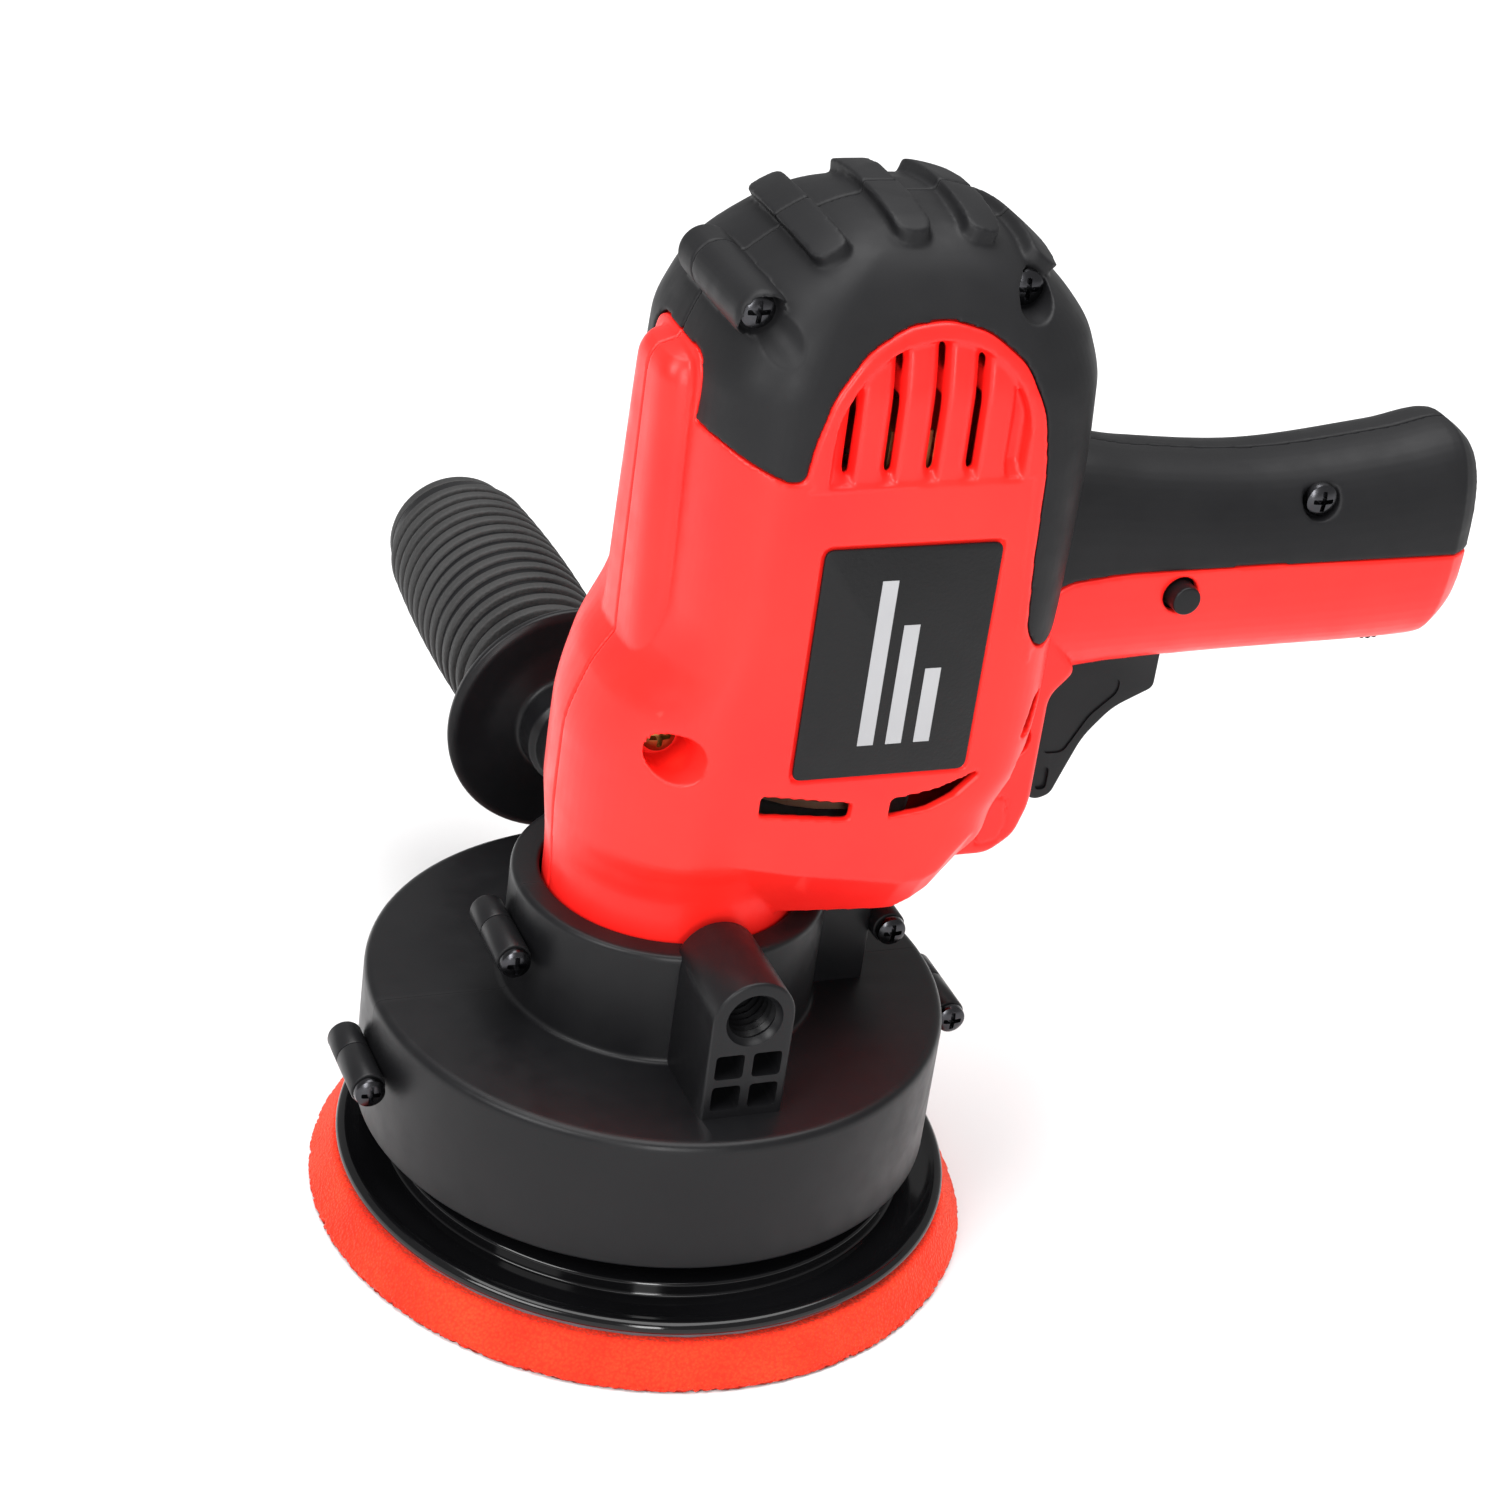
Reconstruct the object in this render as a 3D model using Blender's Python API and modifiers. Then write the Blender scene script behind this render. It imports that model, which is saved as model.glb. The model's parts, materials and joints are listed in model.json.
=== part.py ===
"""Dual action polisher, modelled as the separate pieces it comes apart into.

The output spindle is the Z axis. The origin is where that axis meets the working
face of the foam pad. The pistol handle points along +X, the split between the
clam-shell halves is the plane y = 0, and the side handle stands on the +Y side.
Sizes below are in millimetres; MM turns them into metres.
"""
import math

import bmesh
import bpy
from mathutils import Matrix, Vector

MM = 0.001
GAP = 0.3                      # clearance kept between pieces that touch
HALF_GAP = GAP / 2

# Driving dimensions
MOTOR_X = 28.0                 # motor axis, parallel to the spindle
THROW = 4.0                    # eccentricity of the pad
PAD_Y = -THROW                 # pad axis at rest
PAD_R = 75.0
PLATE_R = 69.6
PLATE_STEP_R = 58.9
DRUM_R = 65.0
DRUM_LOW, DRUM_TOP = 22.2, 54.3
DRUM_WALL = 2.5
COLLAR_R, COLLAR_BORE_R, COLLAR_TOP = 35.0, 28.7, 81.3
NOSE_R, NOSE_LOW = 28.0, 71.6
FOOT_Z = 84.0                  # flat underside of the barrel
BODY_HALF = 33.0               # half width of the motor barrel
KEEL_X, KEEL_HALF = -19.5, 14.0
GRIP_HALF = 17.0               # half width of the pistol handle
WEB_HALF = 16.1                # half width of the web between barrel foot and handle
GRIP_END = 177.0
COVER_T = 1.6                  # soft cover on the dome and handle
BOSS_FACE_Y, BOSS_HALF, BOSS_BORE_Z, BOSS_BORE_R = 55.0, 9.2, 78.5, 6.0
LABEL_LOW, LABEL_HIGH = (10.5, 122.5), (50.0, 176.0)
MODULE, PINION_TEETH, GEAR_TEETH = 1.0, 8, 48
GEAR_LOW, GEAR_HIGH = 91.0, 98.5
CORE_LOW, CORE_HIGH = 136.0, 172.0
BRUSH_Z = 193.5
DIAL_X, DIAL_Z, DIAL_R = 163.5, 140.5, 10.0
INLET_Z = 166.0
LOCK_X, LOCK_Z = 104.0, 152.0
FAR = 400.0                    # reach of a cutter that goes right through

RED = ("red_housing", (0.85, 0.012, 0.016), 0.36, 0.0)
SOFT_BLACK = ("soft_cover", (0.018, 0.018, 0.019), 0.62, 0.0)
DARK = ("dark_plastic", (0.022, 0.022, 0.024), 0.42, 0.0)
GLOSS = ("gloss_plate", (0.010, 0.010, 0.012), 0.14, 0.0)
FOAM = ("foam", (0.95, 0.045, 0.012), 0.95, 0.0)
STEEL = ("steel", (0.55, 0.56, 0.58), 0.30, 1.0)
BLACK_STEEL = ("black_steel", (0.03, 0.03, 0.032), 0.28, 0.9)
LAMINATION = ("lamination", (0.30, 0.30, 0.31), 0.45, 1.0)
COPPER = ("copper", (0.72, 0.30, 0.14), 0.35, 1.0)
BRASS = ("brass", (0.78, 0.57, 0.22), 0.32, 1.0)
ALLOY = ("alloy", (0.62, 0.63, 0.65), 0.42, 1.0)
CARBON = ("carbon", (0.03, 0.03, 0.03), 0.70, 0.0)
RUBBER = ("rubber", (0.02, 0.02, 0.02), 0.80, 0.0)
NYLON = ("nylon", (0.12, 0.12, 0.13), 0.50, 0.0)

# Motor body, level by level: height, front edge, start and end of the flat side,
# back edge, half width, roundness of the front, roundness of the back.
BODY_LEVELS = [
    (FOOT_Z, -15.0, -2, 31, 47.3, BODY_HALF, 2.0, 2.3),
    (95.0, -15.0, -2, 42, 59, BODY_HALF, 2.0, 2.7),
    (103.0, -29.0, -2, 44, 65, BODY_HALF, 2.1, 3.0),
    (107.0, -29.0, -2, 44, 66, BODY_HALF, 2.1, 3.0),
    (120.0, -28.8, -2, 51, 71, BODY_HALF, 2.1, 3.0),
    (134.0, -25.0, -1, 51, 73, BODY_HALF, 2.3, 3.0),
    (147.0, -17.5, 2, 51, 73, BODY_HALF, 2.6, 3.0),
    (157.0, -15.0, 4, 51, 73.5, BODY_HALF, 2.8, 3.0),
    (186.0, -14.5, 5, 51, 74, BODY_HALF, 2.8, 3.0),
    (206.0, -14.0, 6, 47, 74, BODY_HALF - 0.5, 2.8, 2.9),
    (215.0, -11.5, 8, 44, 72.0, BODY_HALF - 2.0, 2.7, 2.7),
    (222.0, -7.5, 10, 42, 67, BODY_HALF - 4.0, 2.6, 2.6),
    (229.0, 0.5, 14, 39, 59, BODY_HALF - 7.5, 2.4, 2.4),
    (234.5, 9.0, 19, 36, 51, BODY_HALF - 12.5, 2.3, 2.3),
    (238.0, 17.0, 25, 34, 44, BODY_HALF - 19.0, 2.2, 2.2),
    (239.6, 24.0, 28, 31, 37, BODY_HALF - 26.0, 2.0, 2.0),
]
# Round nose that carries the body in the collar and flows into its front.
NOSE_LEVELS = [
    (NOSE_LOW, -NOSE_R, -1, 1, NOSE_R, NOSE_R, 2.0, 2.0),
    (86.0, -NOSE_R, -1, 1, NOSE_R, NOSE_R, 2.0, 2.0),
    (96.0, -28.7, -2, 2, 29, 30.2, 2.05, 2.0),
    (102.5, -29.0, -2, 2, 30, BODY_HALF - 0.05, 2.1, 2.0),
    (120.0, -28.75, -2, 2, 30, BODY_HALF - 0.05, 2.1, 2.0),
]
# Lower edge of the flat side panel, as (x, z). Below it the side falls in towards the nose,
# by one unit for every LEDGE_DROP units of height.
LEDGE = [(-60.0, 112.0), (-1.3, 102.5), (15.8, 98.6), (39.6, 94.7), (46.0, 95.8), (52.3, 103.1),
         (80.0, 114.0)]
LEDGE_DROP = 1.6
# Pistol handle, station by station: x, underside, top, half width.
GRIP_STATIONS = [
    (56.0, 131.0, 184.0, GRIP_HALF - 1.0),
    (78.0, 129.0, 183.5, GRIP_HALF),
    (94.0, 130.5, 181.0, GRIP_HALF),
    (122.0, 131.5, 179.0, GRIP_HALF - 0.5),
    (158.0, 132.0, 182.5, GRIP_HALF),
    (171.0, 132.5, 185.0, GRIP_HALF),
    (GRIP_END, 137.0, 181.0, GRIP_HALF - 3.5),
]
# Edge of the soft cover on the side of the body, as (x, z) in the middle plane.
COVER_EDGE = [
    (-FAR, 200.0), (-13.0, 197.5), (-6.0, 194.0), (1.0, 191.0), (4.0, 191.5), (5.0, 199.0),
    (8.0, 209.0), (14.5, 217.5), (23.0, 222.5), (32.0, 223.5), (41.0, 221.0), (49.5, 214.5),
    (55.0, 204.0), (57.0, 192.0), (58.0, 170.0), (59.5, 154.0), (63.5, 149.0), (69.0, 151.0),
    (76.0, 156.5), (90.0, 158.0), (FAR, 158.0), (FAR, FAR), (-FAR, FAR),
]
# Vent arch: centre, radius of the slot ends and foot of the slots.
VENT_X, VENT_FOOT, VENT_SPRING, VENT_R = 30.5, 190.5, 198.0, 21.0
# Housing screws, as (x, z, depth of the head below the middle plane on the -Y side).
HOUSING_SCREWS = [(-14.6, 127.6, 17.0), (-7.0, 224.0, 21.0), (52.0, 226.0, 17.5),
                  (69.0, 118.0, 12.0), (136.0, 172.0, 12.0)]
SCREW_TIP = 8.0                # reach of the housing screws beyond the split
SHROUD_SCREWS = [(-38.6, 70.0), (49.6, 69.0), (-68.6, 40.0), (68.6, 43.0)]
SHROUD_TUBE_R, SHROUD_TUBE_NEAR, SHROUD_TUBE_FAR = 3.9, 12.4, 8.4


# ---------------------------------------------------------------- helpers

def clear_scene():
    """Remove every object of the scene."""
    for item in list(bpy.data.objects):
        bpy.data.objects.remove(item, do_unlink=True)


def make_collection(name):
    """Add a collection under the scene."""
    collection = bpy.data.collections.new(name)
    bpy.context.scene.collection.children.link(collection)
    return collection


def material(spec):
    """Return the Principled material of one named finish."""
    name, colour, roughness, metallic = spec
    found = bpy.data.materials.get(name)
    if found:
        return found
    made = bpy.data.materials.new(name)
    made.use_nodes = True
    shader = made.node_tree.nodes["Principled BSDF"]
    shader.inputs["Base Color"].default_value = (*colour, 1.0)
    shader.inputs["Roughness"].default_value = roughness
    shader.inputs["Metallic"].default_value = metallic
    return made


def add_mesh(name, bm, finish=None):
    """Turn a bmesh in millimetres into an object; without a finish it is a cutter."""
    bmesh.ops.scale(bm, vec=(MM, MM, MM), verts=bm.verts)
    bmesh.ops.recalc_face_normals(bm, faces=bm.faces)
    mesh = bpy.data.meshes.new(name)
    bm.to_mesh(mesh)
    bm.free()
    return add_object(name, mesh, finish)


def add_object(name, mesh, finish):
    """Link a mesh as a part with a finish, or as a hidden cutter."""
    item = bpy.data.objects.new(name, mesh)
    if finish:
        PARTS.objects.link(item)
        mesh.materials.append(material(finish))
        mesh.shade_smooth()
        mesh.set_sharp_from_angle(angle=math.radians(35))
    else:
        CUTTERS.objects.link(item)
        item.hide_render = True
        item.display_type = "WIRE"
    return item


def box(name, low, high, finish=None):
    """A box between two corners."""
    bm = bmesh.new()
    bmesh.ops.create_cube(bm, size=1.0)
    size = [b - a for a, b in zip(low, high)]
    middle = [(a + b) / 2 for a, b in zip(low, high)]
    bmesh.ops.scale(bm, vec=size, verts=bm.verts)
    bmesh.ops.translate(bm, vec=middle, verts=bm.verts)
    return add_mesh(name, bm, finish)


def rod_into(bm, start, end, radius, sides=20, end_radius=None):
    """Add a capped rod or cone between two points to a bmesh."""
    start, end = Vector(start), Vector(end)
    run = end - start
    turn = run.to_track_quat("Z", "Y").to_matrix().to_4x4()
    place = Matrix.Translation((start + end) / 2) @ turn
    top = radius if end_radius is None else end_radius
    bmesh.ops.create_cone(bm, cap_ends=True, segments=sides, radius1=radius,
                          radius2=top, depth=run.length, matrix=place)


def rod(name, start, end, radius, finish=None, sides=20):
    """A capped rod between two points."""
    bm = bmesh.new()
    rod_into(bm, start, end, radius, sides)
    return add_mesh(name, bm, finish)


def turned(name, profile, finish=None, centre=(0.0, 0.0), steps=20, axis="Z"):
    """A closed (radius, height) profile turned about a line parallel to an axis."""
    area = sum(a[0] * b[1] - b[0] * a[1] for a, b in zip(profile, profile[1:] + profile[:1]))
    points = profile if area < 0 else profile[::-1]
    mesh = bpy.data.meshes.new(name)
    verts = [(r * MM, 0.0, z * MM) for r, z in points]
    edges = [(i, (i + 1) % len(points)) for i in range(len(points))]
    mesh.from_pydata(verts, edges, [])
    item = add_object(name, mesh, finish)
    if axis == "Y":
        item.rotation_euler = (-math.pi / 2, 0.0, 0.0)
        item.location = (centre[0] * MM, 0.0, centre[1] * MM)
    else:
        item.location = (centre[0] * MM, centre[1] * MM, 0.0)
    screw = item.modifiers.new("turn", "SCREW")
    screw.steps = steps
    screw.render_steps = steps
    screw.use_merge_vertices = True
    screw.merge_threshold = 0.00001
    screw.use_smooth_shade = True
    return item


def disc_profile(inner, outer, low, high, chamfer=0.0):
    """Profile of a ring, or of a disc where inner is 0."""
    c = chamfer
    outside = [(outer, low + c), (outer, high - c)]
    if c:
        outside = [(outer - c, low)] + outside + [(outer - c, high)]
    return outside + [(inner, high), (inner, low)]


def slab(name, outline, low, high, finish=None, across="Y"):
    """A flat (x, z) outline with thickness along Y, or an (x, y) one along Z."""
    curve = bpy.data.curves.new(name, "CURVE")
    curve.dimensions = "2D"
    curve.fill_mode = "BOTH"
    curve.extrude = (high - low) / 2 * MM
    spline = curve.splines.new("POLY")
    spline.points.add(len(outline) - 1)
    for point, (u, v) in zip(spline.points, outline):
        point.co = (u * MM, v * MM, 0.0, 1.0)
    spline.use_cyclic_u = True
    carrier = bpy.data.objects.new(name, curve)
    CUTTERS.objects.link(carrier)
    depsgraph = bpy.context.evaluated_depsgraph_get()
    mesh = bpy.data.meshes.new_from_object(carrier.evaluated_get(depsgraph))
    bpy.data.objects.remove(carrier, do_unlink=True)
    bm = bmesh.new()
    bm.from_mesh(mesh)
    bmesh.ops.remove_doubles(bm, verts=bm.verts, dist=1e-6)
    bmesh.ops.translate(bm, vec=(0, 0, (low + high) / 2 * MM), verts=bm.verts)
    if across == "Y":
        stand = Matrix(((1, 0, 0, 0), (0, 0, 1, 0), (0, 1, 0, 0), (0, 0, 0, 1)))
        bmesh.ops.transform(bm, matrix=stand, verts=bm.verts)
    bmesh.ops.scale(bm, vec=(1 / MM, 1 / MM, 1 / MM), verts=bm.verts)
    bmesh.ops.dissolve_limit(bm, angle_limit=0.001, verts=bm.verts, edges=bm.edges)
    return add_mesh(name, bm, finish)


def loft(name, rings, finish=None):
    """Skin between rings of equal point count, closed by flat ends."""
    bm = bmesh.new()
    rows = [[bm.verts.new(p) for p in ring] for ring in rings]
    count = len(rows[0])
    for row, after in zip(rows, rows[1:]):
        for i in range(count):
            j = (i + 1) % count
            bm.faces.new((row[i], row[j], after[j], after[i]))
    bm.faces.new(rows[0])
    bm.faces.new(rows[-1])
    return add_mesh(name, bm, finish)


def boolean(target, tool, operation, solver="EXACT"):
    """Leave a Boolean with a hidden tool on the target."""
    step = target.modifiers.new(operation.lower(), "BOOLEAN")
    step.operation = operation
    step.solver = solver
    step.object = tool
    return target


def cut(target, *tools):
    """Take tools away from the target."""
    for tool in tools:
        boolean(target, tool, "DIFFERENCE")
    return target


def join(target, *tools):
    """Fuse tools onto the target."""
    for tool in tools:
        boolean(target, tool, "UNION")
    return target


def soften(item, width, segments=2, angle=40):
    """Round the sharp edges of an object."""
    step = item.modifiers.new("soften", "BEVEL")
    step.width = width * MM
    step.segments = segments
    step.limit_method = "ANGLE"
    step.angle_limit = math.radians(angle)
    return item


def half_space(name, side):
    """The half of space beyond the split, on the -Y (-1) or +Y (+1) side."""
    low = (-FAR, HALF_GAP, -FAR) if side > 0 else (-FAR, -FAR, -FAR)
    high = (FAR, FAR, FAR) if side > 0 else (FAR, -HALF_GAP, FAR)
    return box(name, low, high)


def arc(centre, radius, start, end, count):
    """Points along an arc, angles in degrees."""
    cx, cy = centre
    angles = [math.radians(start + (end - start) * i / (count - 1)) for i in range(count)]
    return [(cx + radius * math.cos(a), cy + radius * math.sin(a)) for a in angles]


# ---------------------------------------------------------------- body shapes

def quarter(centre, reach_x, reach_y, power, count):
    """Superellipse quarter, from the x side to the y side."""
    points = []
    for i in range(count):
        a = math.pi / 2 * i / (count - 1)
        x = centre + reach_x * max(math.cos(a), 0.0) ** (2 / power)
        y = reach_y * max(math.sin(a), 0.0) ** (2 / power)
        points.append((x, y))
    return points


def body_ring(level, inset, count):
    """One level outline of the motor body, drawn in by an inset."""
    z, front, flat_start, flat_end, back, half, front_power, back_power = level
    half -= inset
    behind = quarter(flat_end, back - inset - flat_end, half, back_power, count)
    ahead = quarter(flat_start, front + inset - flat_start, half, front_power, count)
    near = behind + ahead[::-1]
    far = [(x, -y) for x, y in near[-2:0:-1]]
    return [(x, y, z) for x, y in near + far]


def level_loft(name, levels, inset, count):
    """Solid through a table of levels, drawn in by inset(z), with count points to a quarter."""
    rings = []
    for level in levels:
        t = inset(level[0])
        z = level[0] - t if level[0] > 228 else level[0]
        if level[0] == FOOT_Z:
            z += t
        if level[0] == NOSE_LOW and t > 0:
            z -= 5.0
        if level[5] - t > 2.0:
            rings.append(body_ring((z,) + level[1:], t, count))
    return loft(name, rings)


def ledge_cutter(name, side, inset):
    """What is cut away under the ledge of one side, raised by an inset for the hollow."""
    rise = inset * math.hypot(1.0, LEDGE_DROP)
    rings = []
    for reach in (BODY_HALF + 6.0, BODY_HALF - 22.0):
        lift = rise + (reach - BODY_HALF) * LEDGE_DROP
        ring = [(x, side * reach, z + lift) for x, z in LEDGE]
        rings.append(ring + [(LEDGE[-1][0], side * reach, 20.0), (LEDGE[0][0], side * reach, 20.0)])
    return loft(name, rings)


def body_loft(name, inset, count=6):
    """The motor body with its undercut sides and its nose, drawn in by inset(z)."""
    shape = level_loft(name, BODY_LEVELS, inset, count)
    t = inset(FOOT_Z)
    cut(shape, ledge_cutter(name + "_near", -1, t), ledge_cutter(name + "_far", 1, t))
    return join(shape, level_loft(name + "_nose", NOSE_LEVELS, inset, count))


def grip_loft(name, inset):
    """The pistol handle as a solid, drawn in by an inset."""
    rings = []
    for x, low, high, half in GRIP_STATIONS:
        x = min(x, GRIP_END - inset)
        middle = (low + high) / 2
        near = quarter(0.0, half - inset, (high - low) / 2 - inset, 2.6, 5 if inset == 0 else 3)
        right = near + [(-y, z) for y, z in near[-2::-1]]
        ring = right + [(y, -z) for y, z in right[-2:0:-1]]
        rings.append([(x, y, middle + z) for y, z in ring])
    return loft(name, rings)


def web_slab(name, inset):
    """Web between the barrel foot and the handle root."""
    t = inset
    outline = [(14, 88.5 + t), (69 - t, 88.5 + t), (75 - t, 93 + t), (77.5 - t, 101), (77.5 - t, 128 + t),
               (83 - t, 134), (70, 150), (14, 150)]
    item = slab(name, outline, -WEB_HALF + inset, WEB_HALF - inset)
    return soften(item, 3.0, 1) if inset == 0 else item


def keel_slab(name, grow=0.0):
    """Keel along the front of the barrel, or the room it needs when grown."""
    g = grow
    outline = [(-8.0, 126.0), (-15.5, 132.0), (-19.0 - g, 142.0), (KEEL_X - g, 160.0),
               (KEEL_X - g, 203.5 + g), (-17.5 - g, 206.5 + g), (-8.0, 206.5 + g)]
    return soften(slab(name, outline, -KEEL_HALF - g, KEEL_HALF + g), 2.0, 1)


def outer_shape(name):
    """The closed outer form of both halves together."""
    shape = body_loft(name, lambda z: 0.0)
    web, grip = web_slab(name + "_web", 0.0), grip_loft(name + "_grip", 0.0)
    return join(shape, web, grip, keel_slab(name + "_keel"))


def under_cover_shape(name, inset):
    """The same form drawn in, on which the soft cover lies."""
    shape = body_loft(name, lambda z: inset)
    return join(shape, web_slab(name + "_web", inset), grip_loft(name + "_grip", inset))


def wall_inset(z):
    """Depth of the cavity below the outer face of the body."""
    if z < 102:
        return 2.0
    if z < 150:
        return 2.8
    return 4.0


def cavity_shape(name):
    """The hollow inside the halves, open at the nose."""
    shape = body_loft(name, wall_inset, 4)
    return join(shape, web_slab(name + "_web", 2.4), grip_loft(name + "_grip", 4.0))


def cover_region(name, grow):
    """Everything above the edge of the soft cover, grown by a clearance."""
    return slab(name, [(x, z - grow) for x, z in COVER_EDGE], -FAR, FAR)


# ---------------------------------------------------------------- housing

def vent_slots(side):
    """Cutters of the upright slots under the arch and of the two foot slots."""
    cutters = []
    near, far = sorted((side * 20.0, side * 60.0))
    for i in range(5):
        x = VENT_X + (i - 2) * 8.6
        reach = math.sqrt(max(VENT_R ** 2 - (abs(x - VENT_X) + 2.0) ** 2, 0.0))
        top = VENT_SPRING + reach
        cutters.append(box("vent_slot", (x - 2.1, near, VENT_FOOT), (x + 2.1, far, top)))
    foot_slots = [[(4.4, 114.2), (25.2, 111.5), (25.4, 115.7), (4.4, 119.1)],
                  [(34.0, 111.4), (43.0, 112.7), (49.0, 115.6), (54.0, 121.0), (44.0, 117.6),
                   (34.4, 115.9)]]
    for outline in foot_slots:
        cutters.append(slab("foot_slot", outline, near, far))
    return cutters


def screw_bosses(side):
    """Posts of the housing screws inside one half."""
    posts = []
    for x, z, depth in HOUSING_SCREWS:
        reach = depth + 4.5 if z > 200 else 32.0
        start, end = sorted((0.0, side * reach))
        posts.append(rod("boss", (x, start, z), (x, end, z), 5.2, sides=10))
    return posts


def screw_holes(side):
    """Clearance holes and sunk seats on the -Y side, pilot holes on the other."""
    holes = []
    for x, z, depth in HOUSING_SCREWS:
        if side < 0:
            holes.append(rod("clear_hole", (x, -depth - 1, z), (x, 1, z), 2.0, sides=8))
            holes.append(rod("head_seat", (x, -60, z), (x, -depth, z), 3.9, sides=12))
        else:
            holes.append(rod("pilot_hole", (x, -1, z), (x, SCREW_TIP + 1.0, z), 2.0, sides=8))
    return holes


def label_pocket(side, grow, depth, finish=None):
    """Rating plate, or the pocket that it lies in."""
    (x0, z0), (x1, z1) = LABEL_LOW, LABEL_HIGH
    corners = [((x1 - 3, z1 - 3), 0), ((x0 + 3, z1 - 3), 90),
               ((x0 + 3, z0 + 3), 180), ((x1 - 3, z0 + 3), 270)]
    outline = [p for c, a in corners for p in arc(c, 3.0 + grow, a, a + 90, 4)]
    face = BODY_HALF + 0.2 if finish else BODY_HALF + 5
    low, high = sorted((side * (BODY_HALF - depth), side * face))
    return outline, low, high


def motor_mounts(side):
    """Ribs inside one half that hold the stator and the rear bearing."""
    low, high = sorted((side * 20.0, side * 36.0))
    stator_rib = box("stator_rib", (MOTOR_X - 14, low, CORE_LOW + 8), (MOTOR_X + 14, high, CORE_LOW + 12))
    low, high = sorted((0.0, side * 31.0))
    return stator_rib, box("bearing_rib", (-3, low, 207.5), (58, high, 212.5))


def housing_half(side):
    """One red clam-shell half."""
    name = "housing_left" if side < 0 else "housing_right"
    tag = name[8:]
    item = outer_shape(name)
    CUTTERS.objects.unlink(item)
    PARTS.objects.link(item)
    item.hide_render = False
    item.display_type = "TEXTURED"
    item.data.materials.append(material(RED))
    recess = cover_region("recess_" + tag, GAP)
    cut(recess, under_cover_shape("recess_core_" + tag, COVER_T + GAP), keel_slab("recess_keel_" + tag))
    cavity = cavity_shape("cavity_" + tag)
    cut(cavity, *motor_mounts(side), *screw_bosses(side))
    cut(item, recess, cavity)
    outline, low, high = label_pocket(side, GAP, 0.8)
    cut(item, slab("label_pocket", outline, low, high))
    cut(item, *vent_slots(side), *screw_holes(side))
    low, high = (MOTOR_X, 0, CORE_LOW - 3), (MOTOR_X, 0, CORE_HIGH + 3)
    cut(item, rod("stator_room", low, high, 27.0 + GAP, sides=24))
    cut(item, rod("sleeve_room", (MOTOR_X, 0, 200), (MOTOR_X, 0, 216), 13.0 + GAP, sides=20))
    cut(item, box("trigger_room", (79.4, -9.4, 120), (107.6, 9.4, 150)))
    dial_reach = DIAL_R + 0.7
    low, high = (DIAL_X - dial_reach, -4.6, 120), (DIAL_X + dial_reach, 4.6, DIAL_Z + dial_reach)
    cut(item, box("dial_room", low, high))
    cut(item, rod("inlet_room", (168, 0, INLET_Z), (190, 0, INLET_Z), 7.2, sides=20))
    if side < 0:
        cut(item, rod("lock_room", (LOCK_X, -40, LOCK_Z), (LOCK_X, 0, LOCK_Z), 4.0, sides=16))
        cut(item, rod("lock_flange_room", (LOCK_X, -14.2, LOCK_Z), (LOCK_X, -5, LOCK_Z), 5.7, sides=16))
        low, high = -GRIP_HALF - 4, -GRIP_HALF + 0.8
        cut(item, box("side_recess", (64.5, low, 126.5), (67.5, high, 135.5)))
    return boolean(item, half_space("half_" + tag, side), "INTERSECT")


def dome_ribs(tag):
    """Four raised ribs over the dome, thicker than the cover, rounded on the edges."""
    ribs = []
    for i, tilt in enumerate((-36, -7, 19, 45)):
        foot = (30.0 + 12.0 * math.sin(math.radians(tilt)), 212.0)
        run = 33.5 - 3.0 * abs(math.sin(math.radians(tilt)))
        top = (foot[0] + run * math.sin(math.radians(tilt)), foot[1] + run * math.cos(math.radians(tilt)))
        side = Vector((math.cos(math.radians(tilt)), -math.sin(math.radians(tilt)))) * 3.6
        outline = [(foot[0] - side.x, foot[1] - side.y), (foot[0] + side.x, foot[1] + side.y),
                   (top[0] + side.x, top[1] + side.y), (top[0] - side.x, top[1] - side.y)]
        ribs.append(soften(slab(f"dome_rib_{tag}_{i}", outline, -20.0, 20.0), 2.5, 1))
    return ribs


def cover_half(side):
    """Soft black cover of one half."""
    name = "grip_cover_left" if side < 0 else "grip_cover_right"
    tag = "cover_" + name[11:]
    item = outer_shape(name)
    CUTTERS.objects.unlink(item)
    PARTS.objects.link(item)
    item.hide_render = False
    item.display_type = "TEXTURED"
    item.data.materials.append(material(SOFT_BLACK))
    join(item, *dome_ribs(tag))
    join(item, rod("tube_" + tag, (-7, -25.5, 224), (-7, SCREW_TIP + 2.0, 224), 5.8, sides=12))
    boolean(item, cover_region("region_" + tag, 0.0), "INTERSECT")
    cut(item, under_cover_shape("core_" + tag, COVER_T))
    cut(item, keel_slab("keel_room_" + tag, GAP))
    for x, z, depth in HOUSING_SCREWS:
        if z > 165 and side < 0:
            cut(item, rod("cover_hole", (x, -60, z), (x, -8, z), 3.9, sides=12))
        if z > 200:
            cut(item, rod("cover_shank", (x, -30, z), (x, 30, z), 2.0, sides=8))
    cut(item, rod("cover_inlet", (168, 0, INLET_Z), (190, 0, INLET_Z), 7.2, sides=20))
    return boolean(item, half_space("half_" + tag, side), "INTERSECT")


def label_plate(side):
    """Plain rating plate of one half."""
    name = "label_plate_left" if side < 0 else "label_plate_right"
    outline, low, high = label_pocket(side, 0.0, 0.5, SOFT_BLACK)
    return slab(name, outline, low, high, SOFT_BLACK)


def pan_screw(name, x, z, seat, tip, shank, head, tall):
    """Pan-head screw along Y, from the face under its head to its tip."""
    profile = [(shank, tip), (shank, seat), (head, seat), (head, seat - tall * 0.55),
               (head * 0.55, seat - tall), (0.0, seat - tall), (0.0, tip)]
    return turned(name, profile, BLACK_STEEL, (x, z), 12, "Y")


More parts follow.
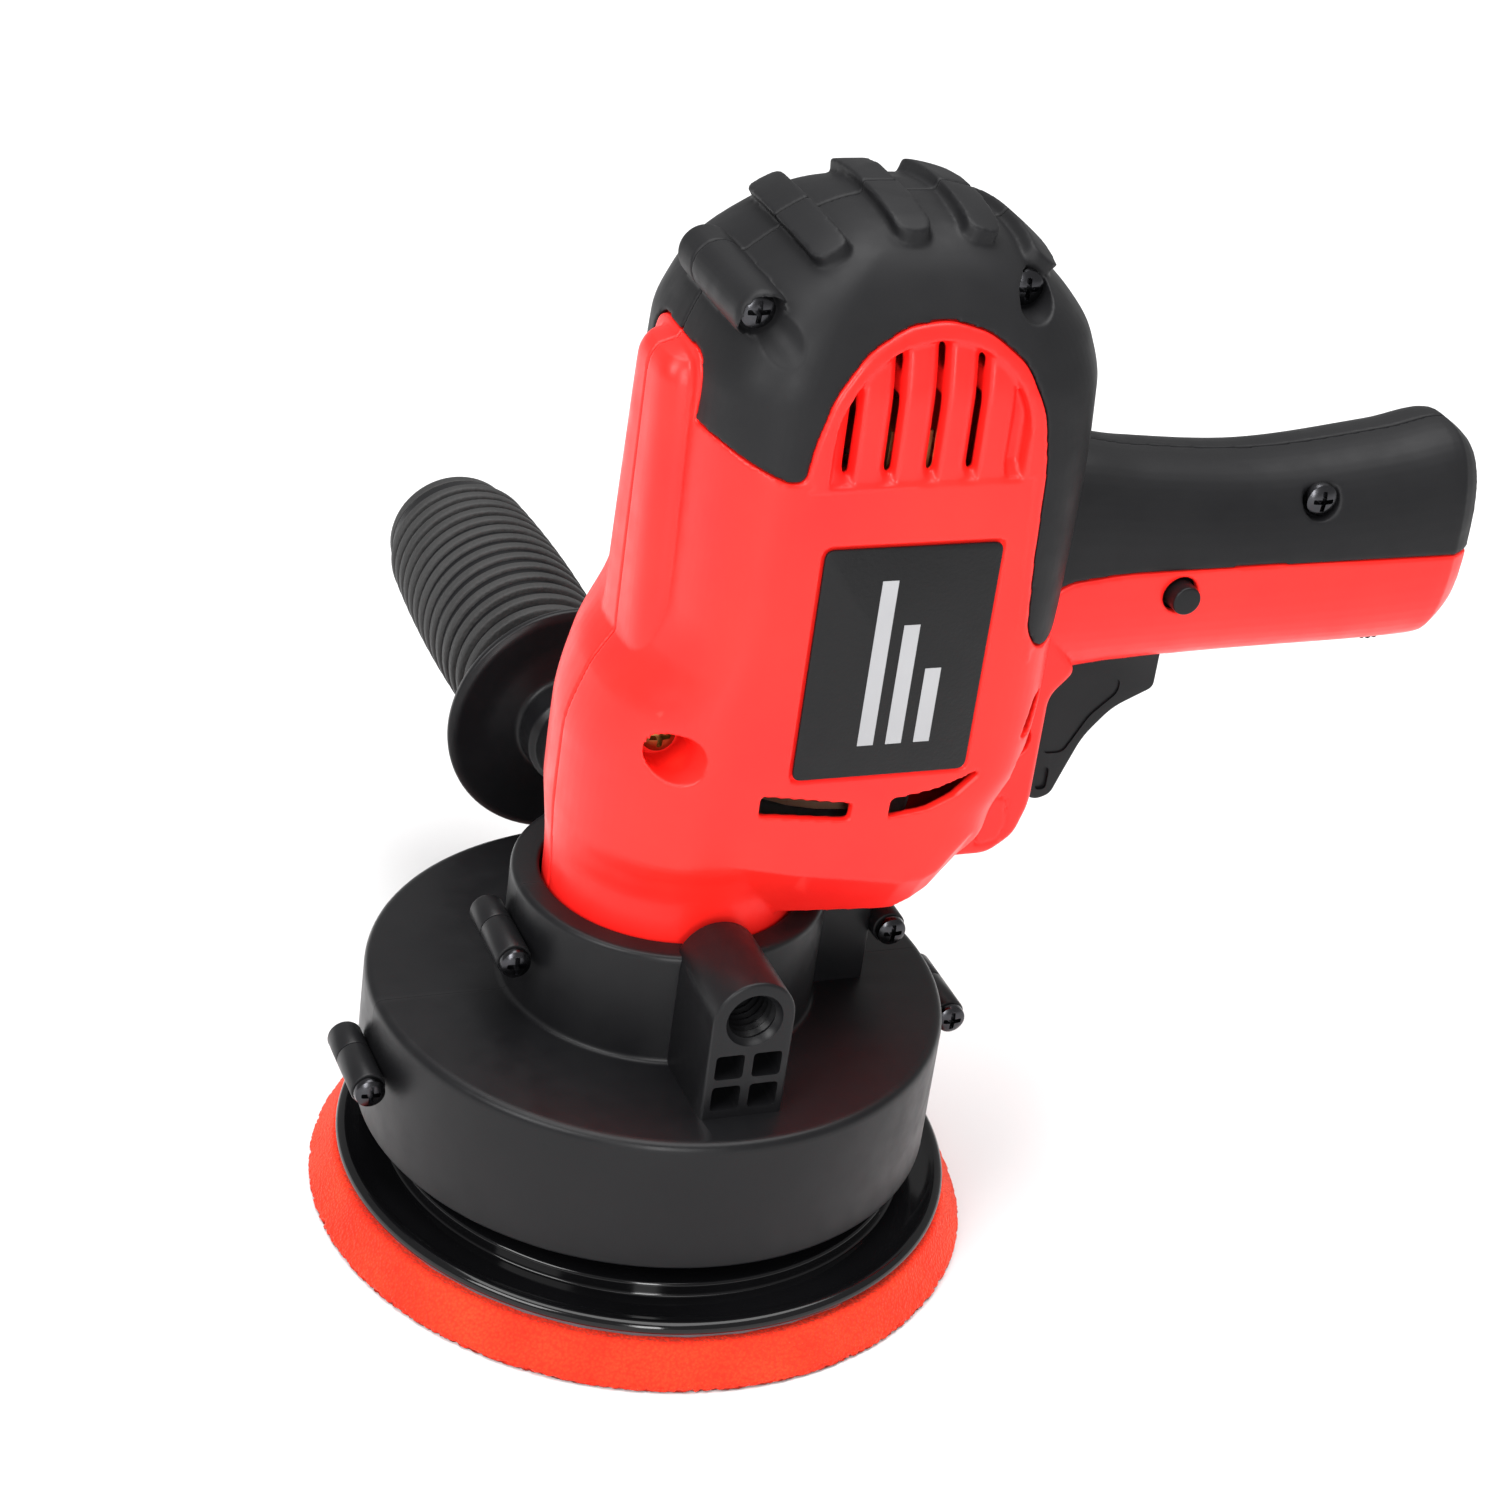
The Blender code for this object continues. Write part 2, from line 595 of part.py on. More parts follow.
def housing_screws():
    """Screws that hold the two housing halves."""
    for i, (x, z, depth) in enumerate(HOUSING_SCREWS, 1):
        pan_screw(f"housing_screw_{i}", x, z, -depth - GAP, SCREW_TIP, 1.7, 3.4, 2.4)


# ---------------------------------------------------------------- shroud

def shroud_profile():
    """Section of drum, collar and lower bearing seat."""
    inside = DRUM_R - DRUM_WALL
    ceiling = DRUM_TOP - DRUM_WALL
    outer = [(DRUM_R, DRUM_LOW)] + arc((DRUM_R - 2.5, DRUM_TOP - 2.5), 2.5, 0, 90, 3)
    outer += [(COLLAR_R + 2.0, DRUM_TOP), (COLLAR_R, DRUM_TOP + 1.5)]
    outer += [(COLLAR_R, COLLAR_TOP - 1.0), (COLLAR_R - 1.0, COLLAR_TOP)]
    inner = [(COLLAR_BORE_R, COLLAR_TOP), (COLLAR_BORE_R, 71.0), (14.3, 71.0), (14.3, 59.5), (10.5, 59.5),
             (10.5, 57.0), (17.5, 57.0), (17.5, 65.5), (31.5, 65.5), (31.5, ceiling), (inside, ceiling),
             (inside, DRUM_LOW)]
    return outer + inner


def handle_boss(name, side):
    """Block with a round top that takes the side handle, on one side."""
    half = BOSS_HALF
    crown = arc((0, BOSS_BORE_Z), half, 0, 180, 7)
    outline = [(half, DRUM_TOP - 1.5)] + crown + [(-half, DRUM_TOP - 1.5)]
    low, high = sorted((side * 30.5, side * BOSS_FACE_Y))
    return slab(name, outline, low, high)


def handle_boss_cuts(side):
    """Threaded bore and the four pockets below it."""
    low, high = sorted((side * 29.5, side * (BOSS_FACE_Y + 5)))
    cutters = [rod("boss_bore", (0, low, BOSS_BORE_Z), (0, high, BOSS_BORE_Z), BOSS_BORE_R, sides=16)]
    low, high = sorted((side * (BOSS_FACE_Y - 10), side * (BOSS_FACE_Y + 5)))
    for x in (-7.4, 1.0):
        for z in (56.4, 64.2):
            cutters.append(box("boss_pocket", (x, low, z), (x + 6.4, high, z + 6.0)))
    return cutters


def shroud_half(side):
    """One half of the black drum and collar."""
    name = "shroud_left" if side < 0 else "shroud_right"
    tag = name[7:]
    item = turned(name, shroud_profile(), DARK, steps=40)
    join(item, handle_boss("boss_block_" + tag, side))
    start, end = sorted((0.0, side * (SHROUD_TUBE_NEAR if side < 0 else SHROUD_TUBE_FAR)))
    for x, z in SHROUD_SCREWS:
        join(item, rod("shroud_tube", (x, start, z), (x, end, z), SHROUD_TUBE_R, sides=12))
    start, end = sorted((0.0, side * 9.5))
    block = box("collar_block_" + tag, (COLLAR_R - 3, start, DRUM_TOP - 1.0), (46.5, end, 76.5))
    join(item, soften(block, 1.0, 1))
    cut(item, *handle_boss_cuts(side))
    for x, z in SHROUD_SCREWS:
        cut(item, rod("shroud_hole", (x, -20, z), (x, 7.2, z), 1.9, sides=8))
    return boolean(item, half_space("half_shroud_" + tag, side), "INTERSECT")


def shroud_screws():
    """Pan-head screws of the drum and collar."""
    for i, (x, z) in enumerate(SHROUD_SCREWS, 1):
        pan_screw(f"shroud_screw_{i}", x, z, -SHROUD_TUBE_NEAR - GAP, 6.8, 1.6, 3.5, 2.3)


def side_handle():
    """Side handle: grip with its disc flange, steel stud and end cap."""
    face = BOSS_FACE_Y + GAP
    outer = [(11.0, face), (11.0, 71.0), (28.0, 72.0), (29.5, 73.6), (28.0, 75.4), (17.0, 79.0),
             (19.8, 112.0), (19.8, 130.0), (17.0, 168.0)]
    inner = [(9.0, 168.0), (9.0, 150.0), (4.8, 150.0), (4.8, face)]
    turned("side_handle_grip", outer + inner, DARK, centre=(0.0, BOSS_BORE_Z), steps=28, axis="Y")
    cap = [(17.0, 168.3), (16.0, 172.0), (11.0, 174.6), (0.0, 175.0),
           (0.0, 160.0), (8.6, 160.0), (8.6, 168.3)]
    turned("side_handle_cap", cap, RUBBER, centre=(0.0, BOSS_BORE_Z), steps=28, axis="Y")
    stud = [(4.5, 146.0), (4.5, 53.0), (5.6, 53.0), (5.6, 36.0), (0.0, 36.0), (0.0, 146.0)]
    turned("side_handle_stud", stud, STEEL, centre=(0.0, BOSS_BORE_Z), steps=20, axis="Y")


# ---------------------------------------------------------------- motor

def tooth_outline(teeth, centre, phase, root_depth, tip_height, root_width, tip_width):
    """Gear outline with straight-flanked teeth."""
    root_r = MODULE * teeth / 2 - root_depth
    tip_r = MODULE * teeth / 2 + tip_height
    outline = []
    for i in range(teeth):
        a = phase + 2 * math.pi * i / teeth
        foot, point = root_width / 2 / root_r, tip_width / 2 / tip_r
        corners = ((root_r, a - foot), (tip_r, a - point), (tip_r, a + point), (root_r, a + foot))
        outline += [(centre[0] + r * math.cos(t), centre[1] + r * math.sin(t)) for r, t in corners]
    return outline


def gears():
    """Pinion on the motor shaft and the driven gear on the spindle."""
    pinion = tooth_outline(PINION_TEETH, (MOTOR_X, 0.0), math.pi, 1.2, 0.85, 1.7, 0.55)
    slab("armature_pinion", pinion, GEAR_LOW - 0.5, GEAR_HIGH + 0.3, STEEL, across="Z")
    gap_angle = math.pi / GEAR_TEETH
    driven = tooth_outline(GEAR_TEETH, (0.0, 0.0), gap_angle, 1.2, 0.85, 1.7, 0.6)
    wheel = slab("drive_gear", driven, GEAR_LOW, GEAR_HIGH, STEEL, across="Z")
    cut(wheel, rod("gear_bore", (0, 0, 80), (0, 0, 110), 6.0 + GAP, sides=24))


def armature():
    """Motor shaft with core, windings, commutator and fan."""
    axis = (MOTOR_X, 0.0)
    turned("armature_shaft", disc_profile(0.0, 4.0, 99.2, 215.0), STEEL, axis, 20)
    turned("armature_core", disc_profile(4.0 + GAP, 15.5, CORE_LOW, CORE_HIGH), LAMINATION, axis)
    lower = disc_profile(4.0 + GAP, 14.0, 127.0, CORE_LOW - GAP, 2.5)
    upper = disc_profile(4.0 + GAP, 14.0, CORE_HIGH + GAP, 183.0, 2.5)
    turned("armature_winding_lower", lower, COPPER, axis)
    turned("armature_winding_upper", upper, COPPER, axis)
    turned("commutator", disc_profile(4.0 + GAP, 9.5, 186.5, 200.5), COPPER, axis)
    fan = turned("cooling_fan", disc_profile(4.0 + GAP, 24.0, 109.0, 110.8), NYLON, axis, 24)
    join(fan, turned("fan_hub", disc_profile(4.0 + GAP, 9.0, 109.5, 119.5), None, axis, 16))
    blades = []
    for i in range(9):
        bm = bmesh.new()
        bmesh.ops.create_cube(bm, size=1.0)
        bmesh.ops.scale(bm, vec=(15.5, 1.2, 8.6), verts=bm.verts)
        bmesh.ops.translate(bm, vec=(16.0, 0.0, 114.5), verts=bm.verts)
        turn = Matrix.Translation((MOTOR_X, 0, 0)) @ Matrix.Rotation(2 * math.pi * i / 9, 4, "Z")
        bmesh.ops.transform(bm, matrix=turn, verts=bm.verts)
        blades.append(add_mesh("fan_blade", bm))
    join(fan, *blades)


def stator():
    """Fixed side of the motor: core, coils, baffle, brush gear and bearings."""
    axis = (MOTOR_X, 0.0)
    turned("stator_core", disc_profile(16.3, 27.0, CORE_LOW, CORE_HIGH), LAMINATION, axis, 24)
    turned("field_coil_lower", disc_profile(17.0, 25.0, 127.5, CORE_LOW - GAP, 2.5), COPPER, axis)
    turned("field_coil_upper", disc_profile(17.0, 25.0, CORE_HIGH + GAP, 181.5, 2.5), COPPER, axis)
    turned("fan_baffle", disc_profile(17.5, 29.0, 122.0, 123.6), NYLON, axis, 24)
    turned("armature_bearing_lower", disc_profile(4.0 + GAP, 11.0, 100.4, 107.4), STEEL, axis)
    turned("armature_bearing_upper", disc_profile(4.0 + GAP, 11.0, 206.5, 213.5), STEEL, axis)
    turned("bearing_sleeve", disc_profile(11.0 + GAP, 13.0, 206.5, 213.5), RUBBER, axis)


def brush_gear():
    """On each side a brass brush box with its carbon brush and spring."""
    x, z = MOTOR_X, BRUSH_Z
    for side, tag in ((-1, "left"), (1, "right")):
        low, high = sorted((side * 12.0, side * 27.5))
        holder = box("brush_holder_" + tag, (x - 4.6, low, z - 5.6), (x + 4.6, high, z + 5.6), BRASS)
        low, high = sorted((side * 10.0, side * 26.5))
        cut(holder, box("brush_bore_" + tag, (x - 3.5, low, z - 4.3), (x + 3.5, high, z + 4.3)))
        low, high = sorted((side * 9.8, side * 20.0))
        box("carbon_brush_" + tag, (x - 3.2, low, z - 4.0), (x + 3.2, high, z + 4.0), CARBON)
        turns, count = 4, 28
        route = []
        for i in range(count + 1):
            a = 2 * math.pi * turns * i / count
            route.append((x + 2.6 * math.cos(a), side * (20.7 + 5.2 * i / count), z + 2.6 * math.sin(a)))
        wire("brush_spring_" + tag, route, 0.35, STEEL)


def wire(name, route, radius, finish=None):
    """A round wire along a route, as a mesh."""
    curve = bpy.data.curves.new(name, "CURVE")
    curve.dimensions = "3D"
    curve.bevel_depth = radius * MM
    curve.bevel_resolution = 0
    curve.use_fill_caps = True
    spline = curve.splines.new("POLY")
    spline.points.add(len(route) - 1)
    for point, place in zip(spline.points, route):
        point.co = (place[0] * MM, place[1] * MM, place[2] * MM, 1.0)
    carrier = bpy.data.objects.new(name, curve)
    CUTTERS.objects.link(carrier)
    depsgraph = bpy.context.evaluated_depsgraph_get()
    mesh = bpy.data.meshes.new_from_object(carrier.evaluated_get(depsgraph))
    bpy.data.objects.remove(carrier, do_unlink=True)
    bm = bmesh.new()
    bm.from_mesh(mesh)
    bmesh.ops.remove_doubles(bm, verts=bm.verts, dist=1e-6)
    bmesh.ops.scale(bm, vec=(1 / MM, 1 / MM, 1 / MM), verts=bm.verts)
    return add_mesh(name, bm, finish)


# ---------------------------------------------------------------- gearbox and spindle

def bearing_bracket():
    """Alloy plate that carries both shafts between the gear and the fan."""
    plate_level = (102.0, -24.6, -2, 26, 51, 25.2, 2.0, 2.4)
    low = body_ring(plate_level, 0.0, 5)
    high = [(x, y, 104.5) for x, y, z in low]
    item = loft("bearing_bracket", [low, high], ALLOY)
    for x in (0.0, MOTOR_X):
        join(item, rod("bracket_boss", (x, 0, 99.6), (x, 0, 107.2), 13.4, sides=20))
    for x in (0.0, MOTOR_X):
        cut(item, rod("bracket_seat", (x, 0, 100.2), (x, 0, 112), 11.0 + GAP, sides=20))
        cut(item, rod("bracket_hole", (x, 0, 90), (x, 0, 112), 8.5, sides=16))


def spindle_group():
    """Output spindle with its spacer, bearings, eccentric hub and counterweight."""
    profile = [(6.0, 40.8), (6.0, 99.4), (4.0, 99.4), (4.0, 108.0), (0.0, 108.0), (0.0, 40.8)]
    turned("output_spindle", profile, STEEL)
    turned("spindle_spacer", disc_profile(6.0 + GAP, 8.6, 68.2, GEAR_LOW - GAP), STEEL)
    turned("spindle_bearing_lower", disc_profile(6.0 + GAP, 14.0, 59.8, 67.8), STEEL)
    turned("spindle_bearing_upper", disc_profile(4.0 + GAP, 11.0, 100.4, 107.4), STEEL)
    hub = turned("eccentric_hub", disc_profile(0.0, 19.5, 27.2, 50.4), ALLOY, (0.0, PAD_Y / 2), 24)
    cut(hub, rod("hub_bore", (0, 0, 40.4), (0, 0, 60), 6.0 + GAP, sides=24))
    cut(hub, rod("hub_pocket", (0, PAD_Y, 20), (0, PAD_Y, 37.2), 14.0 + GAP, sides=32))
    sector = arc((0, 0), 42.0, 35, 145, 12) + arc((0, PAD_Y / 2), 19.5 + GAP, 140, 40, 9)
    slab("counterweight", sector, 31.0, 43.0, BLACK_STEEL, across="Z")
    turned("pad_bearing", disc_profile(6.0 + GAP, 14.0, 28.4, 36.8), STEEL, (0.0, PAD_Y))


# ---------------------------------------------------------------- pad

def pad_group():
    """Everything that turns freely on the pad bearing."""
    axis = (0.0, PAD_Y)
    shaft = [(17.0, 21.0), (17.0, 25.2), (7.6, 25.2), (7.6, 27.6), (6.0, 27.6), (6.0, 36.6), (4.4, 36.6),
             (4.4, 21.0)]
    turned("pad_spindle", shaft, STEEL, axis)
    plate = [(68.0, 10.6), (PLATE_R, 11.6), (PLATE_R, 12.8), (68.6, 13.8), (PLATE_STEP_R, 13.4),
             (PLATE_STEP_R, 16.4), (26.0, 17.6), (22.0, 20.7), (4.4, 20.7), (4.4, 13.6), (8.4, 13.6), (8.4, 10.6)]
    turned("backing_plate", plate, GLOSS, axis, 32)
    screw = [(8.0, 10.9), (8.0, 13.3), (4.0, 13.3), (4.0, 34.0), (0.0, 34.0), (0.0, 10.9)]
    turned("plate_screw", screw, STEEL, axis, 20)
    turned("hook_disc", disc_profile(0.0, 68.0, 9.4, 10.3), NYLON, axis, 36)
    foam = [(PAD_R, 0.0), (PAD_R, 1.0), (70.2, 9.1), (0.0, 9.1), (0.0, 0.0)]
    turned("foam_pad", foam, FOAM, axis, 40)


# ---------------------------------------------------------------- handle fittings

def trigger_group():
    """Trigger blade with the plunger behind it, and the switch that it works."""
    blade = [(79.8, 98.6), (82.5, 97.4), (86.0, 98.6), (88.0, 104.0), (91.5, 113.0), (97.5, 120.0),
             (106.9, 124.5), (106.9, 135.0), (79.8, 135.0)]
    item = soften(slab("trigger", blade, -9.0, 9.0, DARK), 1.6, 2)
    join(item, box("plunger", (90.0, -2.6, 134.0), (96.0, 2.6, 147.5)))
    body = box("switch_body", (82.0, -9.6, 142.0), (116.0, 9.6, 168.0), NYLON)
    cut(body, box("plunger_room", (89.6, -3.0, 140.0), (96.4, 3.0, 154.5)))
    cut(body, box("lock_clear", (98.5, -12.0, 146.5), (109.5, -5.4, 157.5)))


def lock_button():
    """Lock-on button in the -Y side of the handle."""
    profile = [(3.6, -19.3), (3.2, -19.9), (0.0, -19.9), (0.0, -10.3),
               (5.2, -10.3), (5.2, -12.4), (3.6, -12.4)]
    turned("lock_button", profile, DARK, (LOCK_X, LOCK_Z), 16, "Y")


def speed_dial():
    """Thumb wheel that stands out of the underside of the handle."""
    wheel = disc_profile(0.0, DIAL_R, -4.0, 4.0, 0.6)
    return turned("speed_dial", wheel, DARK, (DIAL_X, DIAL_Z), 24, "Y")


def handle_fittings():
    """Cord inlet and cord clamp."""
    profile = [(6.8, 0.0), (6.8, 4.5), (9.2, 4.9), (9.2, 6.6), (8.0, 8.2), (3.6, 8.2), (3.6, 0.0)]
    inlet = turned("cord_inlet", profile, RUBBER)
    inlet.rotation_euler = (0.0, math.pi / 2, 0.0)
    inlet.location = (172.8 * MM, 0.0, INLET_Z * MM)
    bar = box("cord_clamp", (150.5, -9.5, 161.0), (157.5, 9.5, 164.0), NYLON)
    for y in (-6.5, 6.5):
        cut(bar, rod("clamp_hole", (154.0, y, 158), (154.0, y, 166), 1.5, sides=12))


PARTS = None
CUTTERS = None


def build():
    """Model every piece."""
    global PARTS, CUTTERS
    clear_scene()
    PARTS = make_collection("dual_action_polisher")
    CUTTERS = make_collection("cutters")
    for side in (-1, 1):
        housing_half(side)
        cover_half(side)
        label_plate(side)
        shroud_half(side)
    housing_screws()
    shroud_screws()
    side_handle()
    gears()
    armature()
    stator()
    brush_gear()
    bearing_bracket()
    spindle_group()
    pad_group()
    trigger_group()
    lock_button()
    speed_dial()
    handle_fittings()


build()
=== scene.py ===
"""Looks of the dual action polisher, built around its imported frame.

Shapes are worked out in millimetres in the frame's own axes: the output spindle is
the Z axis, the pistol handle points along +X and the side handle stands on +Y.
"""
import json
import math

import bmesh
import bpy
from mathutils import Matrix, Vector, noise


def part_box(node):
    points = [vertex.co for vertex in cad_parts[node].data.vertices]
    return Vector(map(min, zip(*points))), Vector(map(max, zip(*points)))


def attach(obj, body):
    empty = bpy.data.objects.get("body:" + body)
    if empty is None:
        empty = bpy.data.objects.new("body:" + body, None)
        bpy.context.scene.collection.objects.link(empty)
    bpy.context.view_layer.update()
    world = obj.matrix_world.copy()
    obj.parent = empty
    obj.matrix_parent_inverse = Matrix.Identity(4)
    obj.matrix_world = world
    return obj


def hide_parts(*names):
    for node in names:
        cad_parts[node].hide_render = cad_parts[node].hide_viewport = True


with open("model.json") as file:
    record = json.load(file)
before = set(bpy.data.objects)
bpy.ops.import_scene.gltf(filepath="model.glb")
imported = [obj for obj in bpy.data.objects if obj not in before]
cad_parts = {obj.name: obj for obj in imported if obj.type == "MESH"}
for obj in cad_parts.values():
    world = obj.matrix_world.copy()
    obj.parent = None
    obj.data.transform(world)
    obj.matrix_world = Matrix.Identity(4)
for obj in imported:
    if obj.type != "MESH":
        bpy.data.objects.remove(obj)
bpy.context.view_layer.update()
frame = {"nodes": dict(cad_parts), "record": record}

MM = 0.001
GAP = 0.3
FAR = 400.0
VOXEL = 0.5      # grid of the moulded shells
RED_BODY, SOFT_BLACK, DARK, GLOSS = "red_plastic", "soft_cover", "dark_plastic", "gloss_plastic"


def joint(name):
    """One joint of the record."""
    return next(j for j in frame["record"]["behaviour"]["joints"] if j["name"] == name)


def box_mm(node):
    """A node's corners in millimetres."""
    low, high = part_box(node)
    return Vector(low) / MM, Vector(high) / MM

def middle_xz(node):
    """Middle of a node's box, seen from the side."""
    low, high = box_mm(node)
    return (low.x + high.x) / 2, (low.z + high.z) / 2


# Driving places, read from the frame
MOTOR_X = joint("armature_spin")["pos_m"][0] / MM
PAD_Y = joint("pad_spin")["pos_m"][1] / MM
FOAM_LOW, FOAM_HIGH = box_mm("foam_pad")
PAD_R = (FOAM_HIGH.x - FOAM_LOW.x) / 2
PLATE_LOW, PLATE_HIGH = box_mm("backing_plate")
PLATE_R = (PLATE_HIGH.x - PLATE_LOW.x) / 2
BOSS_MOUNT = next(m for m in frame["record"]["mounts"] if m["name"] == "handle_boss_face")
BOSS_FACE_Y = -BOSS_MOUNT["pos_m"][1] / MM
GRIP_LOW, GRIP_HIGH = box_mm("side_handle_grip")
HANDLE_AXIS_Z = (GRIP_LOW.z + GRIP_HIGH.z) / 2
HANDLE_AXIS, PAD_AXIS = (0.0, HANDLE_AXIS_Z), (0.0, PAD_Y)
BODY_HALF = 33.0
GRIP_HALF, WEB_HALF = 17.0, 16.1
GRIP_END = box_mm("housing_left")[1].x
NOSE_LOW, NOSE_R = box_mm("housing_left")[0].z, 28.0
KEEL_X, KEEL_HALF = -19.5, 14.0
COVER_T = 1.6
DRUM_R, DRUM_LOW, DRUM_TOP = 65.0, box_mm("shroud_left")[0].z, 54.3
COLLAR_R, COLLAR_BORE_R, COLLAR_TOP = 35.0, 28.7, 81.3
BOSS_HALF, BOSS_BORE_R = 9.2, 6.0

# Motor body, level by level, as in the solids: height, front edge, start and end of the
# flat side, back edge, half width, roundness of the front, roundness of the back.
FOOT_Z = 84.0
BODY_LEVELS = [
    (FOOT_Z, -15.0, -2, 31, 47.3, BODY_HALF, 2.0, 2.3),
    (88.0, -15.0, -2, 36, 52.5, BODY_HALF, 2.0, 2.4),
    (95.0, -15.0, -2, 42, 59, BODY_HALF, 2.0, 2.7),
    (100.0, -22.0, -2, 43, 63.5, BODY_HALF, 2.0, 2.8),
    (103.0, -29.0, -2, 44, 65, BODY_HALF, 2.1, 3.0),
    (107.0, -29.0, -2, 44, 66, BODY_HALF, 2.1, 3.0),
    (120.0, -28.8, -2, 51, 71, BODY_HALF, 2.1, 3.0),
    (134.0, -25.0, -1, 51, 73, BODY_HALF, 2.3, 3.0),
    (147.0, -17.5, 2, 51, 73, BODY_HALF, 2.6, 3.0),
    (157.0, -15.0, 4, 51, 73.5, BODY_HALF, 2.8, 3.0),
    (186.0, -14.5, 5, 51, 74, BODY_HALF, 2.8, 3.0),
    (206.0, -14.0, 6, 47, 74, BODY_HALF - 0.5, 2.8, 2.9),
    (215.0, -11.5, 8, 44, 72.0, BODY_HALF - 2.0, 2.7, 2.7),
    (222.0, -7.5, 10, 42, 67, BODY_HALF - 4.0, 2.6, 2.6),
    (229.0, 0.5, 14, 39, 59, BODY_HALF - 7.5, 2.4, 2.4),
    (234.5, 9.0, 19, 36, 51, BODY_HALF - 12.5, 2.3, 2.3),
    (238.0, 17.0, 25, 34, 44, BODY_HALF - 19.0, 2.2, 2.2),
    (239.6, 24.0, 28, 31, 37, BODY_HALF - 26.0, 2.0, 2.0),
]
# Round nose that carries the body in the collar and flows into its front.
NOSE_LEVELS = [
    (NOSE_LOW, -NOSE_R, -1, 1, NOSE_R, NOSE_R, 2.0, 2.0),
    (83.0, -NOSE_R, -1, 1, NOSE_R, NOSE_R, 2.0, 2.0),
    (90.0, -28.3, -1, 1, 28.5, 28.6, 2.0, 2.0),
    (96.0, -28.7, -2, 2, 29, 30.2, 2.05, 2.0),
    (102.5, -29.0, -2, 2, 30, BODY_HALF - 0.05, 2.1, 2.0),
    (120.0, -28.75, -2, 2, 30, BODY_HALF - 0.05, 2.1, 2.0),
]
# Lower edge of the flat side panel, as (x, z). Below it the side falls in towards the nose,
# by one unit for every LEDGE_DROP units of height.
LEDGE = [(-60.0, 112.0), (-1.3, 102.5), (15.8, 98.6), (27.6, 96.7), (39.6, 94.7), (45.0, 95.4),
         (48.5, 97.7), (52.3, 103.1), (56.0, 108.0), (80.0, 114.0)]
LEDGE_DROP = 1.6
# Keel down the front of the barrel: height, front edge, half width.
KEEL_LEVELS = [
    (124.0, -12.0, 9.0), (131.0, -16.8, 12.5), (138.0, -19.0, 14.5), (146.0, -19.7, 14.8),
    (160.0, -19.7, 14.0), (185.0, -19.6, 12.4), (203.0, -19.5, 11.0), (206.3, -18.6, 10.0),
    (208.3, -16.6, 8.4), (208.9, -13.5, 6.5),
]
# Pistol handle, station by station: x, underside, top, half width.
GRIP_STATIONS = [
    (56.0, 131.0, 184.0, GRIP_HALF - 1.0),
    (78.0, 129.0, 183.5, GRIP_HALF),
    (94.0, 130.5, 181.0, GRIP_HALF),
    (122.0, 131.5, 179.0, GRIP_HALF - 0.5),
    (158.0, 132.0, 182.5, GRIP_HALF),
    (171.0, 132.5, 185.0, GRIP_HALF),
    (GRIP_END, 137.0, 181.0, GRIP_HALF - 3.5),
]
# Edge of the soft cover on the side of the body, as (x, z).
COVER_EDGE = [
    (-FAR, 200.0), (-13.0, 197.5), (-6.0, 194.0), (1.0, 191.0), (4.0, 191.5), (5.0, 199.0),
    (8.0, 209.0), (14.5, 217.5), (23.0, 222.5), (32.0, 223.5), (41.0, 221.0), (49.5, 214.5),
    (55.0, 204.0), (57.0, 192.0), (58.0, 170.0), (59.5, 154.0), (63.5, 149.0), (69.0, 151.0),
    (76.0, 156.5), (90.0, 158.0), (FAR, 158.0),
]
VENT_X, VENT_FOOT, VENT_SPRING, VENT_R = 30.5, 190.5, 198.0, 21.0
HOUSING_SCREWS = [(-14.6, 127.6, 17.0), (-7.0, 224.0, 21.0), (52.0, 226.0, 17.5),
                  (69.0, 118.0, 12.0), (136.0, 172.0, 12.0)]
COVERED_SCREWS = [screw for screw in HOUSING_SCREWS if screw[1] > 165]
TUBE_R, TUBE_FAR = 5.6, 10.0             # tube over the front dome screw
SHROUD_SCREWS = [(-38.6, 70.0), (49.6, 69.0), (-68.6, 40.0), (68.6, 43.0)]
SHROUD_TUBE_R, SHROUD_TUBE_NEAR, SHROUD_TUBE_FAR = 3.9, 12.4, 8.4


# --- materials

def shader_nodes(name, colour, roughness, metallic=0.0):
    """A new material with its Principled shader, its tree and object coordinates."""
    made = bpy.data.materials.new(name)
    made.use_nodes = True
    tree = made.node_tree
    shader = tree.nodes["Principled BSDF"]
    shader.inputs["Base Color"].default_value = (*colour, 1.0)
    shader.inputs["Roughness"].default_value = roughness
    shader.inputs["Metallic"].default_value = metallic
    place = tree.nodes.new("ShaderNodeTexCoord").outputs["Object"]
    return made, tree, shader, place


def noise_node(tree, place, size_mm, detail=3.0, kind="ShaderNodeTexNoise"):
    """A noise or cell texture whose features are about size_mm across."""
    node = tree.nodes.new(kind)
    node.inputs["Scale"].default_value = 1.0 / (size_mm * MM)
    if kind == "ShaderNodeTexNoise":
        node.inputs["Detail"].default_value = detail
    tree.links.new(place, node.inputs["Vector"])
    return node


def spread(tree, value, low, high, start=0.3, end=0.7):
    """Map a 0 to 1 value between two numbers."""
    node = tree.nodes.new("ShaderNodeMapRange")
    for key, number in (("From Min", start), ("From Max", end), ("To Min", low), ("To Max", high)):
        node.inputs[key].default_value = number
    tree.links.new(value, node.inputs["Value"])
    return node.outputs["Result"]


def mix_colour(tree, factor, a, b):
    """Blend two colours, each a tuple or a socket, by a factor socket."""
    node = tree.nodes.new("ShaderNodeMix")
    node.data_type = "RGBA"
    tree.links.new(factor, node.inputs[0])
    for index, colour in ((6, a), (7, b)):
        if isinstance(colour, tuple):
            node.inputs[index].default_value = (*colour, 1.0)
        else:
            tree.links.new(colour, node.inputs[index])
    return node.outputs[2]


